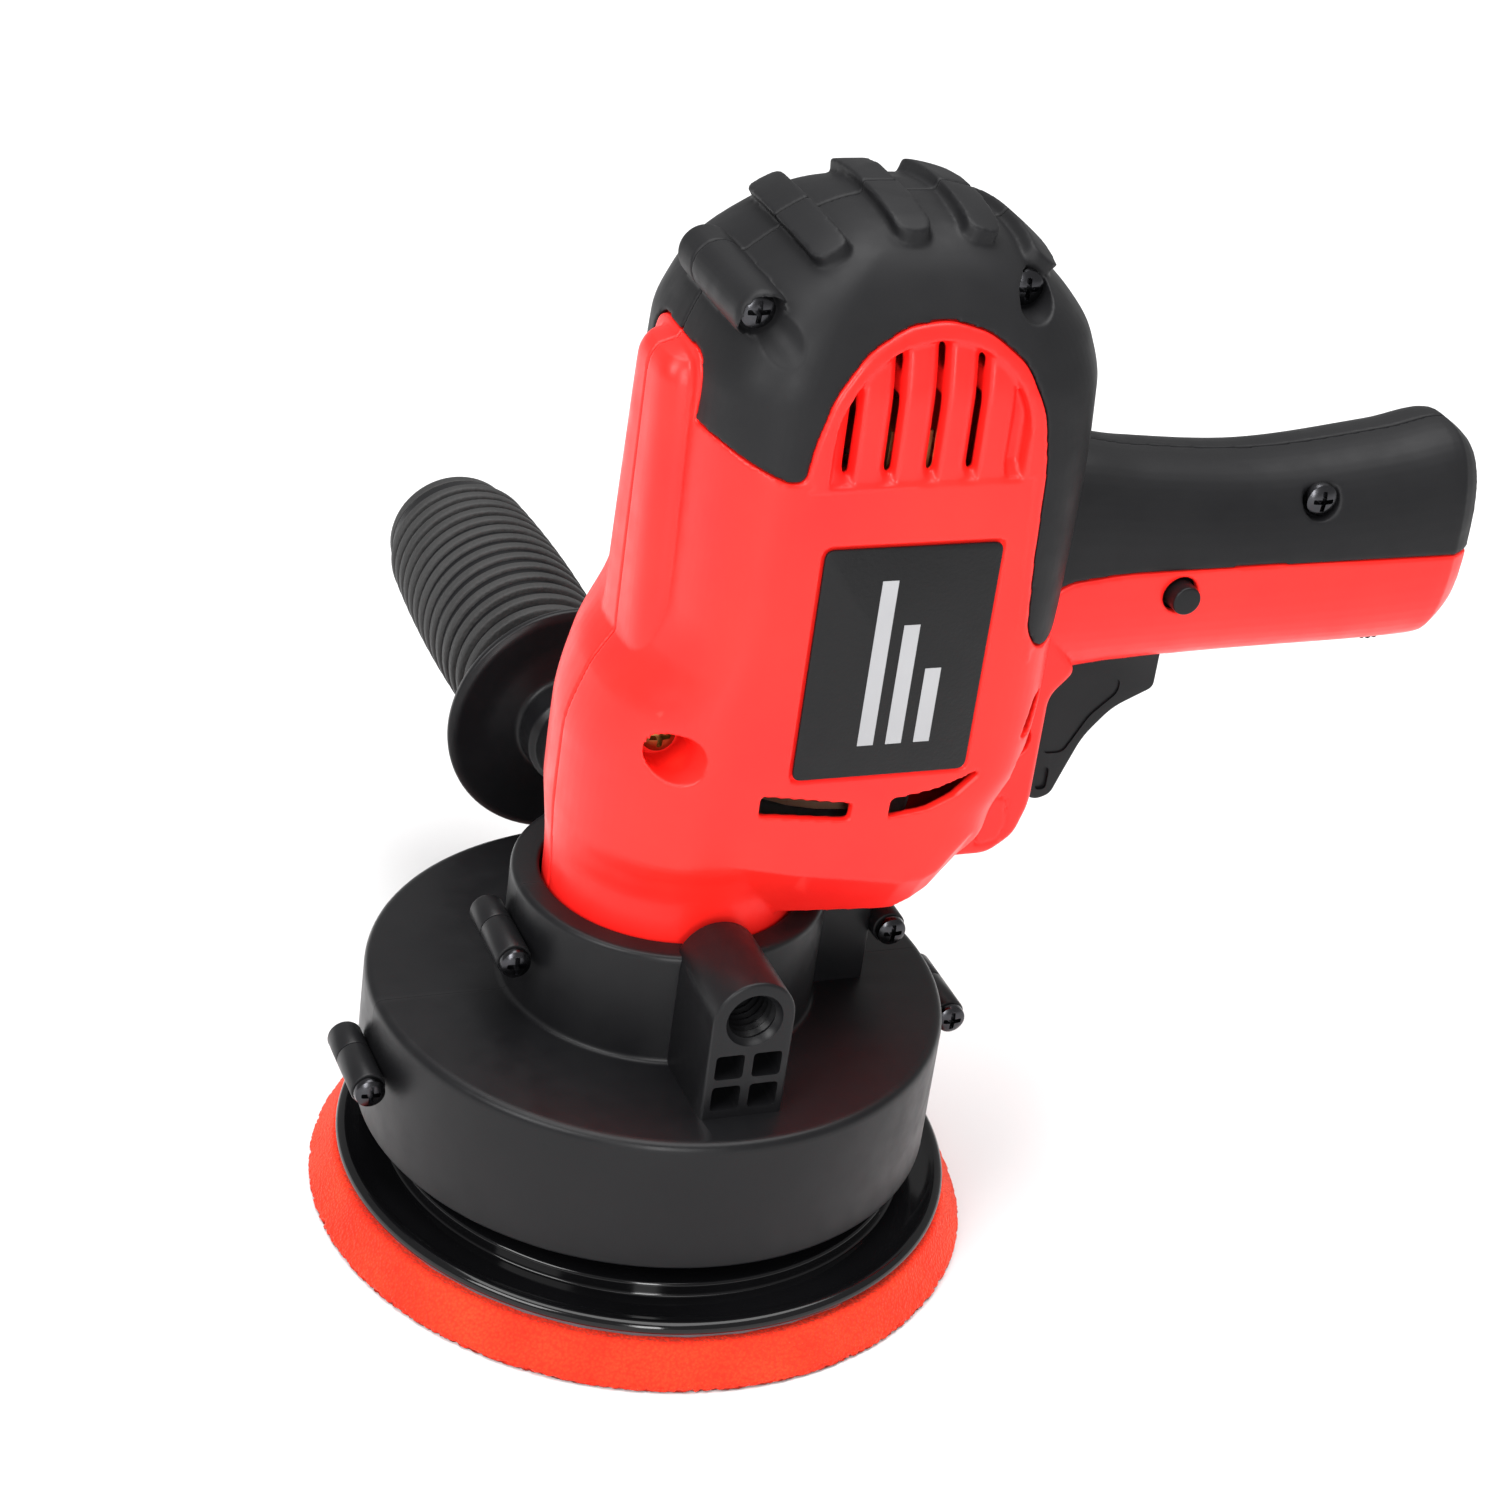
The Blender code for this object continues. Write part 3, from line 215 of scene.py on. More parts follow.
def add_bump(tree, shader, height, depth_mm, strength=1.0, after=None):
    """Bump the shader's normal by a height socket, on top of an earlier bump."""
    node = tree.nodes.new("ShaderNodeBump")
    node.inputs["Strength"].default_value = strength
    node.inputs["Distance"].default_value = depth_mm * MM
    tree.links.new(height, node.inputs["Height"])
    if after:
        tree.links.new(after.outputs["Normal"], node.inputs["Normal"])
    tree.links.new(node.outputs["Normal"], shader.inputs["Normal"])
    return node


def moulded_plastic(name, colour, shade, rough, grain_mm, grain_depth, edge=None, specular=0.5):
    """Injection-moulded plastic: spark grain, faint flow mottling and a painted highlight that turns sharp
    edges towards a lighter edge colour.
    """
    made, tree, shader, place = shader_nodes(name, colour, rough[0])
    shader.inputs["Specular IOR Level"].default_value = specular
    flow = noise_node(tree, place, 38.0, 4.0).outputs["Fac"]
    tint = mix_colour(tree, spread(tree, flow, 0.0, 1.0), colour, shade)
    if edge:
        # Painted highlight: where the surface is pointy (convex edges) the colour is blended towards the
        # lighter edge colour.
        edge_highlight_mask = tree.nodes.new("ShaderNodeNewGeometry").outputs["Pointiness"]
        tint = mix_colour(tree, spread(tree, edge_highlight_mask, 0.0, 0.55, 0.53, 0.62), tint, edge)
    tree.links.new(tint, shader.inputs["Base Color"])
    scuff = noise_node(tree, place, 6.0, 6.0).outputs["Fac"]
    tree.links.new(spread(tree, scuff, rough[0], rough[1]), shader.inputs["Roughness"])
    wave = add_bump(tree, shader, flow, 0.05, 0.4)
    grain = noise_node(tree, place, grain_mm, 2.0).outputs["Fac"]
    add_bump(tree, shader, grain, grain_depth, 0.55, wave)
    return made


def metal(name, colour, shade, rough, line_mm, depth_mm=0.01):
    """Machined metal with fine turning marks and slightly uneven tone."""
    made, tree, shader, place = shader_nodes(name, colour, rough[0], 1.0)
    tone = noise_node(tree, place, 9.0, 5.0).outputs["Fac"]
    tint = mix_colour(tree, spread(tree, tone, 0.0, 1.0), colour, shade)
    tree.links.new(tint, shader.inputs["Base Color"])
    tree.links.new(spread(tree, tone, rough[0], rough[1]), shader.inputs["Roughness"])
    lines = tree.nodes.new("ShaderNodeTexWave")
    lines.bands_direction = "Z"
    lines.inputs["Scale"].default_value = 1.0 / (line_mm * MM) / 20
    lines.inputs["Distortion"].default_value = 2.0
    tree.links.new(place, lines.inputs["Vector"])
    add_bump(tree, shader, lines.outputs["Fac"], depth_mm, 0.5)
    return made


def winding_wire(name, colour, shade):
    """Enamelled copper wire laid side by side, under varnish."""
    made, tree, shader, place = shader_nodes(name, colour, 0.3, 0.9)
    shader.inputs["Coat Weight"].default_value = 0.6
    lay = tree.nodes.new("ShaderNodeTexWave")
    lay.bands_direction = "DIAGONAL"
    lay.inputs["Scale"].default_value = 60.0
    lay.inputs["Distortion"].default_value = 1.5
    tree.links.new(place, lay.inputs["Vector"])
    # Painted shade: the colour darkens towards the shaded copper colour in the grooves between the turns,
    # where the bump is low.
    tree.links.new(mix_colour(tree, lay.outputs["Fac"], shade, colour), shader.inputs["Base Color"])
    add_bump(tree, shader, lay.outputs["Fac"], 0.25, 0.8)
    return made


def open_cell_foam(name):
    """Reticulated polishing foam: pores darkened as painted shade, and a painted shade band along the foot
    whose upper line is made ragged by noise.
    """
    made, tree, shader, place = shader_nodes(name, (0.95, 0.030, 0.008), 0.9)
    shader.inputs["Specular IOR Level"].default_value = 0.2
    shader.inputs["Sheen Weight"].default_value = 0.35
    shader.inputs["Sheen Roughness"].default_value = 0.5
    shader.inputs["Sheen Tint"].default_value = (1.0, 0.35, 0.25, 1.0)
    cells = noise_node(tree, place, 0.7, kind="ShaderNodeTexVoronoi").outputs["Distance"]
    cloud = noise_node(tree, place, 16.0, 5.0).outputs["Fac"]
    tint = mix_colour(tree, spread(tree, cloud, 0.0, 1.0), (1.0, 0.045, 0.012), (0.88, 0.022, 0.006))
    # Painted shade: the foam turns to a darker copy of its red away from the cell centres, in the pores.
    tint = mix_colour(tree, spread(tree, cells, 0.0, 0.5, 0.25, 0.75), tint, (0.55, 0.010, 0.004))
    # Painted shade: a dark band along the foot of the pad, next to the floor, with its upper line made
    # ragged by the torn noise.
    height = tree.nodes.new("ShaderNodeSeparateXYZ")
    tree.links.new(place, height.inputs[0])
    torn = noise_node(tree, place, 2.2, 6.0).outputs["Fac"]
    edge = tree.nodes.new("ShaderNodeMath")
    edge.operation = "MULTIPLY_ADD"
    edge.inputs[1].default_value = 0.0014
    tree.links.new(torn, edge.inputs[0])
    tree.links.new(height.outputs["Z"], edge.inputs[2])
    foot_shade_band = spread(tree, edge.outputs[0], 0.85, 0.0, 0.0009, 0.0015)
    tree.links.new(mix_colour(tree, foot_shade_band, tint, (0.10, 0.004, 0.002)), shader.inputs["Base Color"])
    wave = add_bump(tree, shader, cloud, 0.5, 0.6)
    add_bump(tree, shader, cells, 0.35, 0.9, wave)
    return made


def rubber_grip(name, colour):
    """Matt rubber with a fine woven knurl."""
    made, tree, shader, place = shader_nodes(name, colour, 0.62)
    shader.inputs["Specular IOR Level"].default_value = 0.35
    cloud = noise_node(tree, place, 20.0, 4.0).outputs["Fac"]
    lighter = tuple(c * 1.7 for c in colour)
    tint = mix_colour(tree, spread(tree, cloud, 0.0, 1.0), colour, lighter)
    tree.links.new(tint, shader.inputs["Base Color"])
    tree.links.new(spread(tree, cloud, 0.55, 0.72), shader.inputs["Roughness"])
    knurl = noise_node(tree, place, 1.1, kind="ShaderNodeTexVoronoi").outputs["Distance"]
    add_bump(tree, shader, knurl, 0.18, 0.6)
    return made


def painted_floor(name):
    """Pale seamless studio paper."""
    made, tree, shader, place = shader_nodes(name, (0.72, 0.72, 0.72), 0.7)
    cloud = noise_node(tree, place, 300.0, 3.0).outputs["Fac"]
    tone = mix_colour(tree, spread(tree, cloud, 0.0, 1.0), (0.72, 0.72, 0.72), (0.695, 0.695, 0.70))
    tree.links.new(tone, shader.inputs["Base Color"])
    grain = noise_node(tree, place, 0.6, 2.0).outputs["Fac"]
    add_bump(tree, shader, grain, 0.02, 0.3)
    return made


MATERIALS = {
    # The seventh value of a plastic row, such as (1.0, 0.05, 0.04) or (0.020, 0.020, 0.021), is the colour
    # of its painted edge highlight.
    RED_BODY: moulded_plastic("red_moulding", (0.93, 0.020, 0.013), (0.90, 0.012, 0.010), (0.30, 0.42),
                              0.45, 0.02, (1.0, 0.05, 0.04), 0.30),
    SOFT_BLACK: moulded_plastic("soft_touch_cover", (0.0062, 0.0062, 0.007), (0.009, 0.009, 0.0098),
                                (0.46, 0.58), 0.30, 0.02, (0.020, 0.020, 0.021), 0.20),
    DARK: moulded_plastic("dark_moulding", (0.0045, 0.0045, 0.0052), (0.0065, 0.0065, 0.0072), (0.32, 0.42),
                          0.40, 0.018, (0.020, 0.020, 0.021), 0.20),
    GLOSS: moulded_plastic("gloss_moulding", (0.0025, 0.0025, 0.0028), (0.004, 0.004, 0.0045), (0.06, 0.13),
                           2.0, 0.004, None, 0.30),
    "label": moulded_plastic("plate_film", (0.0045, 0.0045, 0.005), (0.007, 0.007, 0.0075),
                             (0.34, 0.46), 0.8, 0.12, None, 0.20),
    "print": moulded_plastic("plate_print", (0.36, 0.36, 0.37), (0.31, 0.31, 0.32), (0.4, 0.5),
                             0.5, 0.01),
    "foam": open_cell_foam("polishing_foam"),
    "zinc": metal("zinc_plated_steel", (0.30, 0.19, 0.06), (0.22, 0.13, 0.04), (0.35, 0.5), 0.6),
    "fan": moulded_plastic("fan_moulding", (0.16, 0.085, 0.05), (0.12, 0.06, 0.035), (0.5, 0.6), 0.5, 0.02),
    "steel": metal("ground_steel", (0.58, 0.59, 0.61), (0.46, 0.47, 0.49), (0.22, 0.36), 0.5),
    "black_steel": metal("black_oxide_steel", (0.035, 0.035, 0.038), (0.06, 0.06, 0.065),
                         (0.18, 0.30), 0.6),
    "lamination": metal("varnished_laminations", (0.26, 0.26, 0.27), (0.18, 0.18, 0.19),
                        (0.35, 0.5), 1.0, 0.05),
    "copper": winding_wire("enamelled_copper", (0.75, 0.30, 0.12), (0.35, 0.12, 0.05)),
    "brass": metal("pressed_brass", (0.80, 0.58, 0.24), (0.66, 0.46, 0.18), (0.25, 0.4), 0.8),
    "alloy": metal("cast_alloy", (0.60, 0.61, 0.63), (0.48, 0.49, 0.51), (0.4, 0.55), 2.5, 0.04),
    "carbon": moulded_plastic("pressed_graphite", (0.025, 0.025, 0.026), (0.04, 0.04, 0.042), (0.5, 0.7),
                              0.3, 0.03),
    "rubber": rubber_grip("moulded_rubber", (0.016, 0.016, 0.016)),
    "nylon": moulded_plastic("filled_nylon", (0.09, 0.09, 0.10), (0.12, 0.12, 0.13), (0.45, 0.6),
                             0.5, 0.02),
}


# --- mesh helpers

def mesh_object(name, bm):
    """Turn a bmesh in millimetres into a linked object in metres."""
    bmesh.ops.scale(bm, vec=(MM, MM, MM), verts=bm.verts)
    bmesh.ops.recalc_face_normals(bm, faces=bm.faces)
    mesh = bpy.data.meshes.new(name)
    bm.to_mesh(mesh)
    bm.free()
    item = bpy.data.objects.new(name, mesh)
    bpy.context.scene.collection.objects.link(item)
    return item


def apply_modifiers(item):
    """Bake an object's modifiers into its mesh."""
    bpy.context.view_layer.update()
    graph = bpy.context.evaluated_depsgraph_get()
    mesh = bpy.data.meshes.new_from_object(item.evaluated_get(graph))
    old = item.data
    item.modifiers.clear()
    item.data = mesh
    bpy.data.meshes.remove(old)
    return item


def combine(target, operation, *tools):
    """Apply Booleans with tools that are then removed."""
    for tool in tools:
        step = target.modifiers.new(operation, "BOOLEAN")
        step.operation = operation
        step.solver = "MANIFOLD"
        step.object = tool
        apply_modifiers(target)
        bpy.data.objects.remove(tool, do_unlink=True)
    return target


def carve(target, *tools):
    """Cut tools out of the target."""
    return combine(target, "DIFFERENCE", *tools)


def unite(target, *tools):
    """Fuse tools onto the target."""
    return combine(target, "UNION", *tools)


def clip(target, tool):
    """Keep what the tool covers."""
    return combine(target, "INTERSECT", tool)


def bevel(item, width, segments=3, angle=35):
    """Round an object's sharp edges and bake it."""
    step = item.modifiers.new("bevel", "BEVEL")
    step.width = width * MM
    step.segments = segments
    step.limit_method = "ANGLE"
    step.angle_limit = math.radians(angle)
    return apply_modifiers(item)


def mould(item, voxel, passes, keep):
    """Rebuild as one skin with softened edges, like a moulding out of its tool."""
    step = item.modifiers.new("remesh", "REMESH")
    step.mode = "VOXEL"
    step.voxel_size = voxel * MM
    smooth = item.modifiers.new("smooth", "SMOOTH")
    smooth.factor = 0.5
    smooth.iterations = passes
    thin = item.modifiers.new("thin", "DECIMATE")
    thin.ratio = keep
    return apply_modifiers(item)


def finish_piece(item, body, slot, nodes, angle=30, finish=None):
    """Shade, dress and attach one visible piece to its body, and hide the solids it replaces."""
    item.data.materials.clear()
    item.data.materials.append(MATERIALS[finish or slot])
    item.data.shade_smooth()
    if angle:
        item.data.set_sharp_from_angle(angle=math.radians(angle))
    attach(item, body)
    if nodes:
        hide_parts(*nodes)
    return item


def cuboid(name, low, high):
    """A box between two corners."""
    bm = bmesh.new()
    bmesh.ops.create_cube(bm, size=1.0)
    low, high = Vector(low), Vector(high)
    bmesh.ops.scale(bm, vec=high - low, verts=bm.verts)
    bmesh.ops.translate(bm, vec=(low + high) / 2, verts=bm.verts)
    return mesh_object(name, bm)


def rod(name, start, end, radius, sides=40, end_radius=None):
    """A capped rod or cone between two points."""
    start, end = Vector(start), Vector(end)
    run = end - start
    place = Matrix.Translation((start + end) / 2) @ run.to_track_quat("Z", "Y").to_matrix().to_4x4()
    bm = bmesh.new()
    far_radius = radius if end_radius is None else end_radius
    bmesh.ops.create_cone(bm, cap_ends=True, segments=sides, radius1=radius, radius2=far_radius,
                          depth=run.length, matrix=place)
    return mesh_object(name, bm)


def turned(name, profile, centre=(0.0, 0.0), steps=128, axis="Z"):
    """A closed (radius, height) outline turned about a line parallel to Z or Y."""
    bm = bmesh.new()
    rows = []
    for r, h in profile:
        row = []
        for k in range(steps if r > 1e-6 else 1):
            a = 2 * math.pi * k / steps
            u, v = centre[0] + r * math.cos(a), centre[1] + r * math.sin(a)
            row.append(bm.verts.new((u, v, h) if axis == "Z" else (u, h, v)))
        rows.append(row)
    for row, after in zip(rows, rows[1:] + rows[:1]):
        for k in range(steps):
            j = (k + 1) % steps
            corners = [row[k % len(row)], row[j % len(row)], after[j % len(after)], after[k % len(after)]]
            unique = list(dict.fromkeys(corners))
            if len(unique) > 2:
                bm.faces.new(unique)
    return mesh_object(name, bm)


def rounded(profile, radius, count=5):
    """A closed outline with its corners rounded; radius is one number or one per corner."""
    result = []
    total = len(profile)
    for i, corner in enumerate(profile):
        reach = radius if isinstance(radius, (int, float)) else radius[i]
        here = Vector(corner)
        back, ahead = Vector(profile[i - 1]), Vector(profile[(i + 1) % total])
        to_back, to_ahead = back - here, ahead - here
        reach = min(reach, to_back.length * 0.49, to_ahead.length * 0.49)
        if reach < 1e-6:
            result.append(tuple(here))
            continue
        a = here + to_back.normalized() * reach
        b = here + to_ahead.normalized() * reach
        for k in range(count + 1):
            t = k / count
            result.append(tuple(a.lerp(here, t).lerp(here.lerp(b, t), t)))
    return result


def soften(corners, count, scale=1.0):
    """Outline from (u, v, corner radius) rows, each corner rounded by its own radius."""
    return rounded([(u, v) for u, v, c in corners], [c * scale for u, v, c in corners], count)

def rectangle(x0, z0, x1, z1, radius, count=5):
    """Outline of a rectangle with rounded corners."""
    return rounded([(x0, z0), (x1, z0), (x1, z1), (x0, z1)], radius, count)

def slab(name, outline, low, high, across="Y"):
    """A flat outline in (x, z) with thickness along Y, in (x, y) along Z, or in (y, z) along X."""
    bm = bmesh.new()

    def corner(u, v, w):
        return {"Y": (u, w, v), "Z": (u, v, w), "X": (w, u, v)}[across]

    near = [bm.verts.new(corner(u, v, low)) for u, v in outline]
    far = [bm.verts.new(corner(u, v, high)) for u, v in outline]
    bm.faces.new(near)
    bm.faces.new(far[::-1])
    for i in range(len(outline)):
        j = (i + 1) % len(outline)
        bm.faces.new((near[j], near[i], far[i], far[j]))
    return mesh_object(name, bm)


def loft(name, rings):
    """Skin between rings of equal point count, closed by flat ends."""
    bm = bmesh.new()
    rows = [[bm.verts.new(p) for p in ring] for ring in rings]
    count = len(rows[0])
    for row, after in zip(rows, rows[1:]):
        for i in range(count):
            j = (i + 1) % count
            bm.faces.new((row[i], row[j], after[j], after[i]))
    bm.faces.new(rows[0])
    bm.faces.new(rows[-1])
    return mesh_object(name, bm)


def arc(centre, radius_x, radius_z, start, end, count):
    """Points along an elliptic arc, angles in degrees."""
    angles = [math.radians(start + (end - start) * i / (count - 1)) for i in range(count)]
    return [(centre[0] + radius_x * math.cos(a), centre[1] + radius_z * math.sin(a)) for a in angles]


def blend_rows(rows, position):
    """Row between table rows at a position in the first column, on a monotone cubic."""
    for i in range(len(rows) - 1):
        if rows[i][0] <= position <= rows[i + 1][0]:
            break
    a, b = rows[i], rows[i + 1]
    span = b[0] - a[0]
    t = (position - a[0]) / span
    values = [position]
    for k in range(1, len(a)):
        rise = (b[k] - a[k]) / span
        before = (a[k] - rows[i - 1][k]) / (a[0] - rows[i - 1][0]) if i else rise
        following = (rows[i + 2][k] - b[k]) / (rows[i + 2][0] - b[0]) if i + 2 < len(rows) else rise
        start = 0.0 if before * rise <= 0 else 2 * before * rise / (before + rise)
        end = 0.0 if following * rise <= 0 else 2 * following * rise / (following + rise)
        h = t * t * (3 - 2 * t)
        values.append(a[k] + (b[k] - a[k]) * h + span * (start * t * (1 - t) ** 2 - end * t * t * (1 - t)))
    return values


def quarter(centre, reach_x, reach_y, power, count):
    """Superellipse quarter, from the x side to the y side."""
    points = []
    for i in range(count):
        a = math.pi / 2 * i / (count - 1)
        x = centre + reach_x * max(math.cos(a), 0.0) ** (2 / power)
        y = reach_y * max(math.sin(a), 0.0) ** (2 / power)
        points.append((x, y))
    return points


def body_ring(level, inset, count=20):
    """One level outline of the motor body, drawn in by an inset."""
    z, front, flat_start, flat_end, back, half, front_power, back_power = level
    half -= inset
    behind = quarter(flat_end, back - inset - flat_end, half, back_power, count)
    ahead = quarter(flat_start, front + inset - flat_start, half, front_power, count)
    near = behind + ahead[::-1]
    far = [(x, -y) for x, y in near[-2:0:-1]]
    return [(x, y, z) for x, y in near + far]


def level_loft(name, levels, inset, step=1.6):
    """Fine solid through a table of levels, drawn in by a number or by inset(z)."""
    inset_at = inset if callable(inset) else (lambda z: inset)
    low, top = levels[0][0], levels[-1][0]
    heights = {level[0] for level in levels}
    z = low
    while z < top:
        heights.add(z)
        z += step if z < 225 else step / 2
    rings = []
    for z in sorted(heights):
        level = blend_rows(levels, z)
        t = inset_at(z)
        lift = -t * min(max((z - 215) / 20, 0.0), 1.0)
        if z == low and t > 0:
            lift = -5.0 if low == NOSE_LOW else t
        if level[5] - t > 2.0:
            rings.append(body_ring([z + lift] + level[1:], t))
    return loft(name, rings)


def ledge_cutter(side, inset):
    """What is cut away under the ledge of one side, raised by an inset for the hollow."""
    rise = inset * math.hypot(1.0, LEDGE_DROP)
    rings = []
    for reach in (BODY_HALF + 6.0, BODY_HALF - 22.0):
        lift = rise + (reach - BODY_HALF) * LEDGE_DROP
        ring = [(x, side * reach, z + lift) for x, z in LEDGE]
        rings.append(ring + [(LEDGE[-1][0], side * reach, 20.0), (LEDGE[0][0], side * reach, 20.0)])
    return loft("ledge_cutter", rings)


def body_loft(name, inset):
    """The motor body with its undercut sides and its nose, drawn in by an inset."""
    t = inset(FOOT_Z) if callable(inset) else inset
    shape = level_loft(name, BODY_LEVELS, inset)
    carve(shape, ledge_cutter(-1, t), ledge_cutter(1, t))
    return unite(shape, level_loft("nose", NOSE_LEVELS, inset))


def dome_loft(name, inset):
    """Only the upper body, for cutters that follow its face."""
    return level_loft(name, [level for level in BODY_LEVELS if level[0] > 104], inset)


def side_reach(x, z):
    """Distance of the body's side face from the split."""
    _, front, flat_start, flat_end, back, half, front_power, back_power = blend_rows(BODY_LEVELS, z)
    run, power = 0.0, 2.0
    if x < flat_start:
        run, power = (flat_start - x) / (flat_start - front), front_power
    elif x > flat_end:
        run, power = (x - flat_end) / (back - flat_end), back_power
    return half * max(1.0 - run ** power, 0.0) ** (1 / power)


def grip_loft(name, inset):
    """The pistol handle as a fine solid, drawn in by an inset."""
    rings = []
    first, last = GRIP_STATIONS[0][0], GRIP_END - inset
    count = 48
    for i in range(count + 1):
        x = first + (last - first) * i / count
        _, low, high, half = blend_rows(GRIP_STATIONS, min(x, GRIP_END))
        near = quarter(0.0, half - inset, (high - low) / 2 - inset, 2.6, 14)
        right = near + [(-y, z) for y, z in near[-2::-1]]
        ring = right + [(y, -z) for y, z in right[-2:0:-1]]
        rings.append([(x, y, (low + high) / 2 + z) for y, z in ring])
    return loft(name, rings)


def web_slab(name, t):
    """Web between the barrel foot and the handle root, drawn in by an inset t."""
    outline = [(14, 88.5 + t), (69 - t, 88.5 + t), (75 - t, 93 + t), (77.5 - t, 101), (77.5 - t, 128 + t),
               (83 - t, 134), (70, 150), (14, 150)]
    item = slab(name, rounded(outline, 2.5), -WEB_HALF + t, WEB_HALF - t)
    return bevel(item, 3.0, 4, 60) if t == 0 else item


def keel_loft(name):
    """Rounded keel along the front of the barrel."""
    low, top = KEEL_LEVELS[0][0], KEEL_LEVELS[-1][0]
    rings = []
    count = 60
    for i in range(count + 1):
        z, front, half = blend_rows(KEEL_LEVELS, low + (top - low) * i / count)
        near = quarter(-6.0, front + 6.0, half, 4.2, 14)
        ring = near + [(x, -y) for x, y in near[-1::-1]]
        rings.append([(x, y, z) for x, y in ring])
    return loft(name, rings)


def keel_room(name, grow=0.0):
    """Red field around the keel that the cover leaves free, or that field grown."""
    half, top = KEEL_HALF + grow, KEEL_LEVELS[-1][0] + 1.2 + grow
    return slab(name, rectangle(-half, 126.0, half, top, 7.0, 10), KEEL_X - 30.0, -6.0, "X")


def outer_shape(name):
    """The closed outer form of both halves together."""
    shape = body_loft(name, 0.0)
    return unite(shape, web_slab("web", 0.0), grip_loft("grip", 0.0), keel_loft("keel"))


def under_cover_shape(inset):
    """The same form drawn in, on which the soft cover lies."""
    return unite(body_loft("core", inset), web_slab("web", inset), grip_loft("grip", inset))


def wall_inset(z):
    """Depth of the cavity below the outer face of the body."""
    return 2.0 + 2.0 * min(max((z - 100) / 60, 0.0), 1.0)


def cavity_shape():
    """The hollow inside the halves, open at the nose."""
    return unite(body_loft("cavity", wall_inset), web_slab("web", 2.6), grip_loft("grip", 4.0))


def cover_region(grow):
    """Everything above the edge of the soft cover, grown by a clearance."""
    edge = rounded(COVER_EDGE + [(FAR, FAR), (-FAR, FAR)], 3.0, 4)
    return slab("region", [(x, z - grow) for x, z in edge], -FAR, FAR)


def span_y(side, start, end):
    """Two distances from the split on one side, as low and high y."""
    return sorted((side * start, side * end))

def half_space(side, seam=GAP / 2):
    """The half of space beyond the split, on the -Y (-1) or +Y (+1) side."""
    low, high = span_y(side, seam, FAR)
    return cuboid("half", (-FAR, low, -FAR), (FAR, high, FAR))


# --- motor housing

LINER_R = 5.7
COVER_SEAM = 0.04              # half the gap between two black halves
# Ribs of the dome: lean from upright in degrees, half length across.
RIBS = [(-36, 20.0), (-7, 19.5), (19, 19.0), (45, 18.0)]
# Slits between the blades: centre, width of the slope on the left, reach on the right, cut right through.
VENT_SLOTS = [(13.3, 3.2, 0.7, True), (22.4, 2.2, 0.7, True), (31.6, 2.2, 0.7, True),
              (40.4, 2.2, 0.7, True), (48.6, 0.9, 2.6, False)]
FOOT_SLOTS = [[(4.4, 114.2), (25.2, 111.5), (25.4, 115.7), (4.4, 119.1)],
              [(34.0, 111.4), (43.0, 112.7), (49.0, 115.6), (54.0, 120.6), (53.6, 121.4),
               (44.0, 117.6), (34.4, 115.9)]]
POST_R, SEAT_R, MOUTH_R = 8.2, 5.2, 6.6      # round the housing screws
SHANK_R, PILOT_R = 2.2, 2.3


def vent_arch(shrink):
    """Outline of the arched vent panel."""
    reach = VENT_R + 0.6 - shrink
    foot = VENT_FOOT - 0.8 + shrink
    return [(VENT_X + reach, foot)] + arc((VENT_X, VENT_SPRING), reach, reach, 0, 180, 33) + \
        [(VENT_X - reach, foot)]


def vent_groove(side, x, left, right):
    """Groove beside a blade, following the body's face, with soft shoulders and a ramped foot."""
    rings = []
    for i in range(26):
        z = VENT_FOOT - 1.5 + i * 1.4
        face = side_reach(x, z) - 0.35
        deep = min(1.0, i / 3.0)
        section = [(-left - 1.6, 2.0), (right + 1.2, 2.0), (right + 1.2, 0.0), (right + 0.35, -0.5 * deep),
                   (right, -2.6 * deep), (right, -2.7 * deep), (-0.8, -2.7 * deep), (-0.8, -2.6 * deep),
                   (-left, -0.8 * deep), (-left - 1.6, 0.0)]
        rings.append([(x + u, side * (face + v), z) for u, v in section])
    return loft("groove", rings)


def vent_cutters(side):
    """Sunk arch panel, grooves and slits between the blades, and the two foot slots."""
    near, far = span_y(side, 12.0, 60.0)
    panel = slab("panel", vent_arch(0.0), near, far)
    carve(panel, dome_loft("panel_floor", 0.4))
    tools = [panel]
    for x, left, right, open_slit in VENT_SLOTS:
        groove = clip(vent_groove(side, x, left, right), slab("arch", vent_arch(0.3), near, far))
        tools.append(groove)
        if open_slit:
            tools.append(clip(cuboid("slit", (x - 0.8, near, VENT_FOOT + 1.2), (x + right, far, 240)),
                              slab("arch", vent_arch(1.2), near, far)))
    for outline in FOOT_SLOTS:
        tools.append(slab("foot_slot", rounded(outline, 0.5), near, far))
    return tools


def vent_rim(side):
    """Raised lip round the arch that runs on down the edge of the cover."""
    edge = []
    for point in rounded([p for p in COVER_EDGE if 4.0 <= p[0] <= 63.5], 2.0, 4):
        inward = (Vector((VENT_X, min(point[1], VENT_SPRING))) - Vector(point)).normalized()
        edge.append(tuple(Vector(point) + inward * (GAP + 0.5)))
    low, high = span_y(side, 10.0, 60.0)
    back = [(61.0, 147.0), (57.3, 154.0), (55.8, 170.0), (54.6, 190.5), (5.0, 189.0)]
    lip = slab("lip", edge + back, low, high)
    carve(lip, slab("lip_hole", vent_arch(0.0), low - 1, high + 1))
    return clip(carve(lip, dome_loft("lip_floor", 1.5)), dome_loft("lip_top", -0.35))


def label_outline(grow):
    """Outline of the rating plate."""
    return rectangle(10.5 - grow, 122.5 - grow, 50.0 + grow, 176.0 + grow, 2.2, 6)


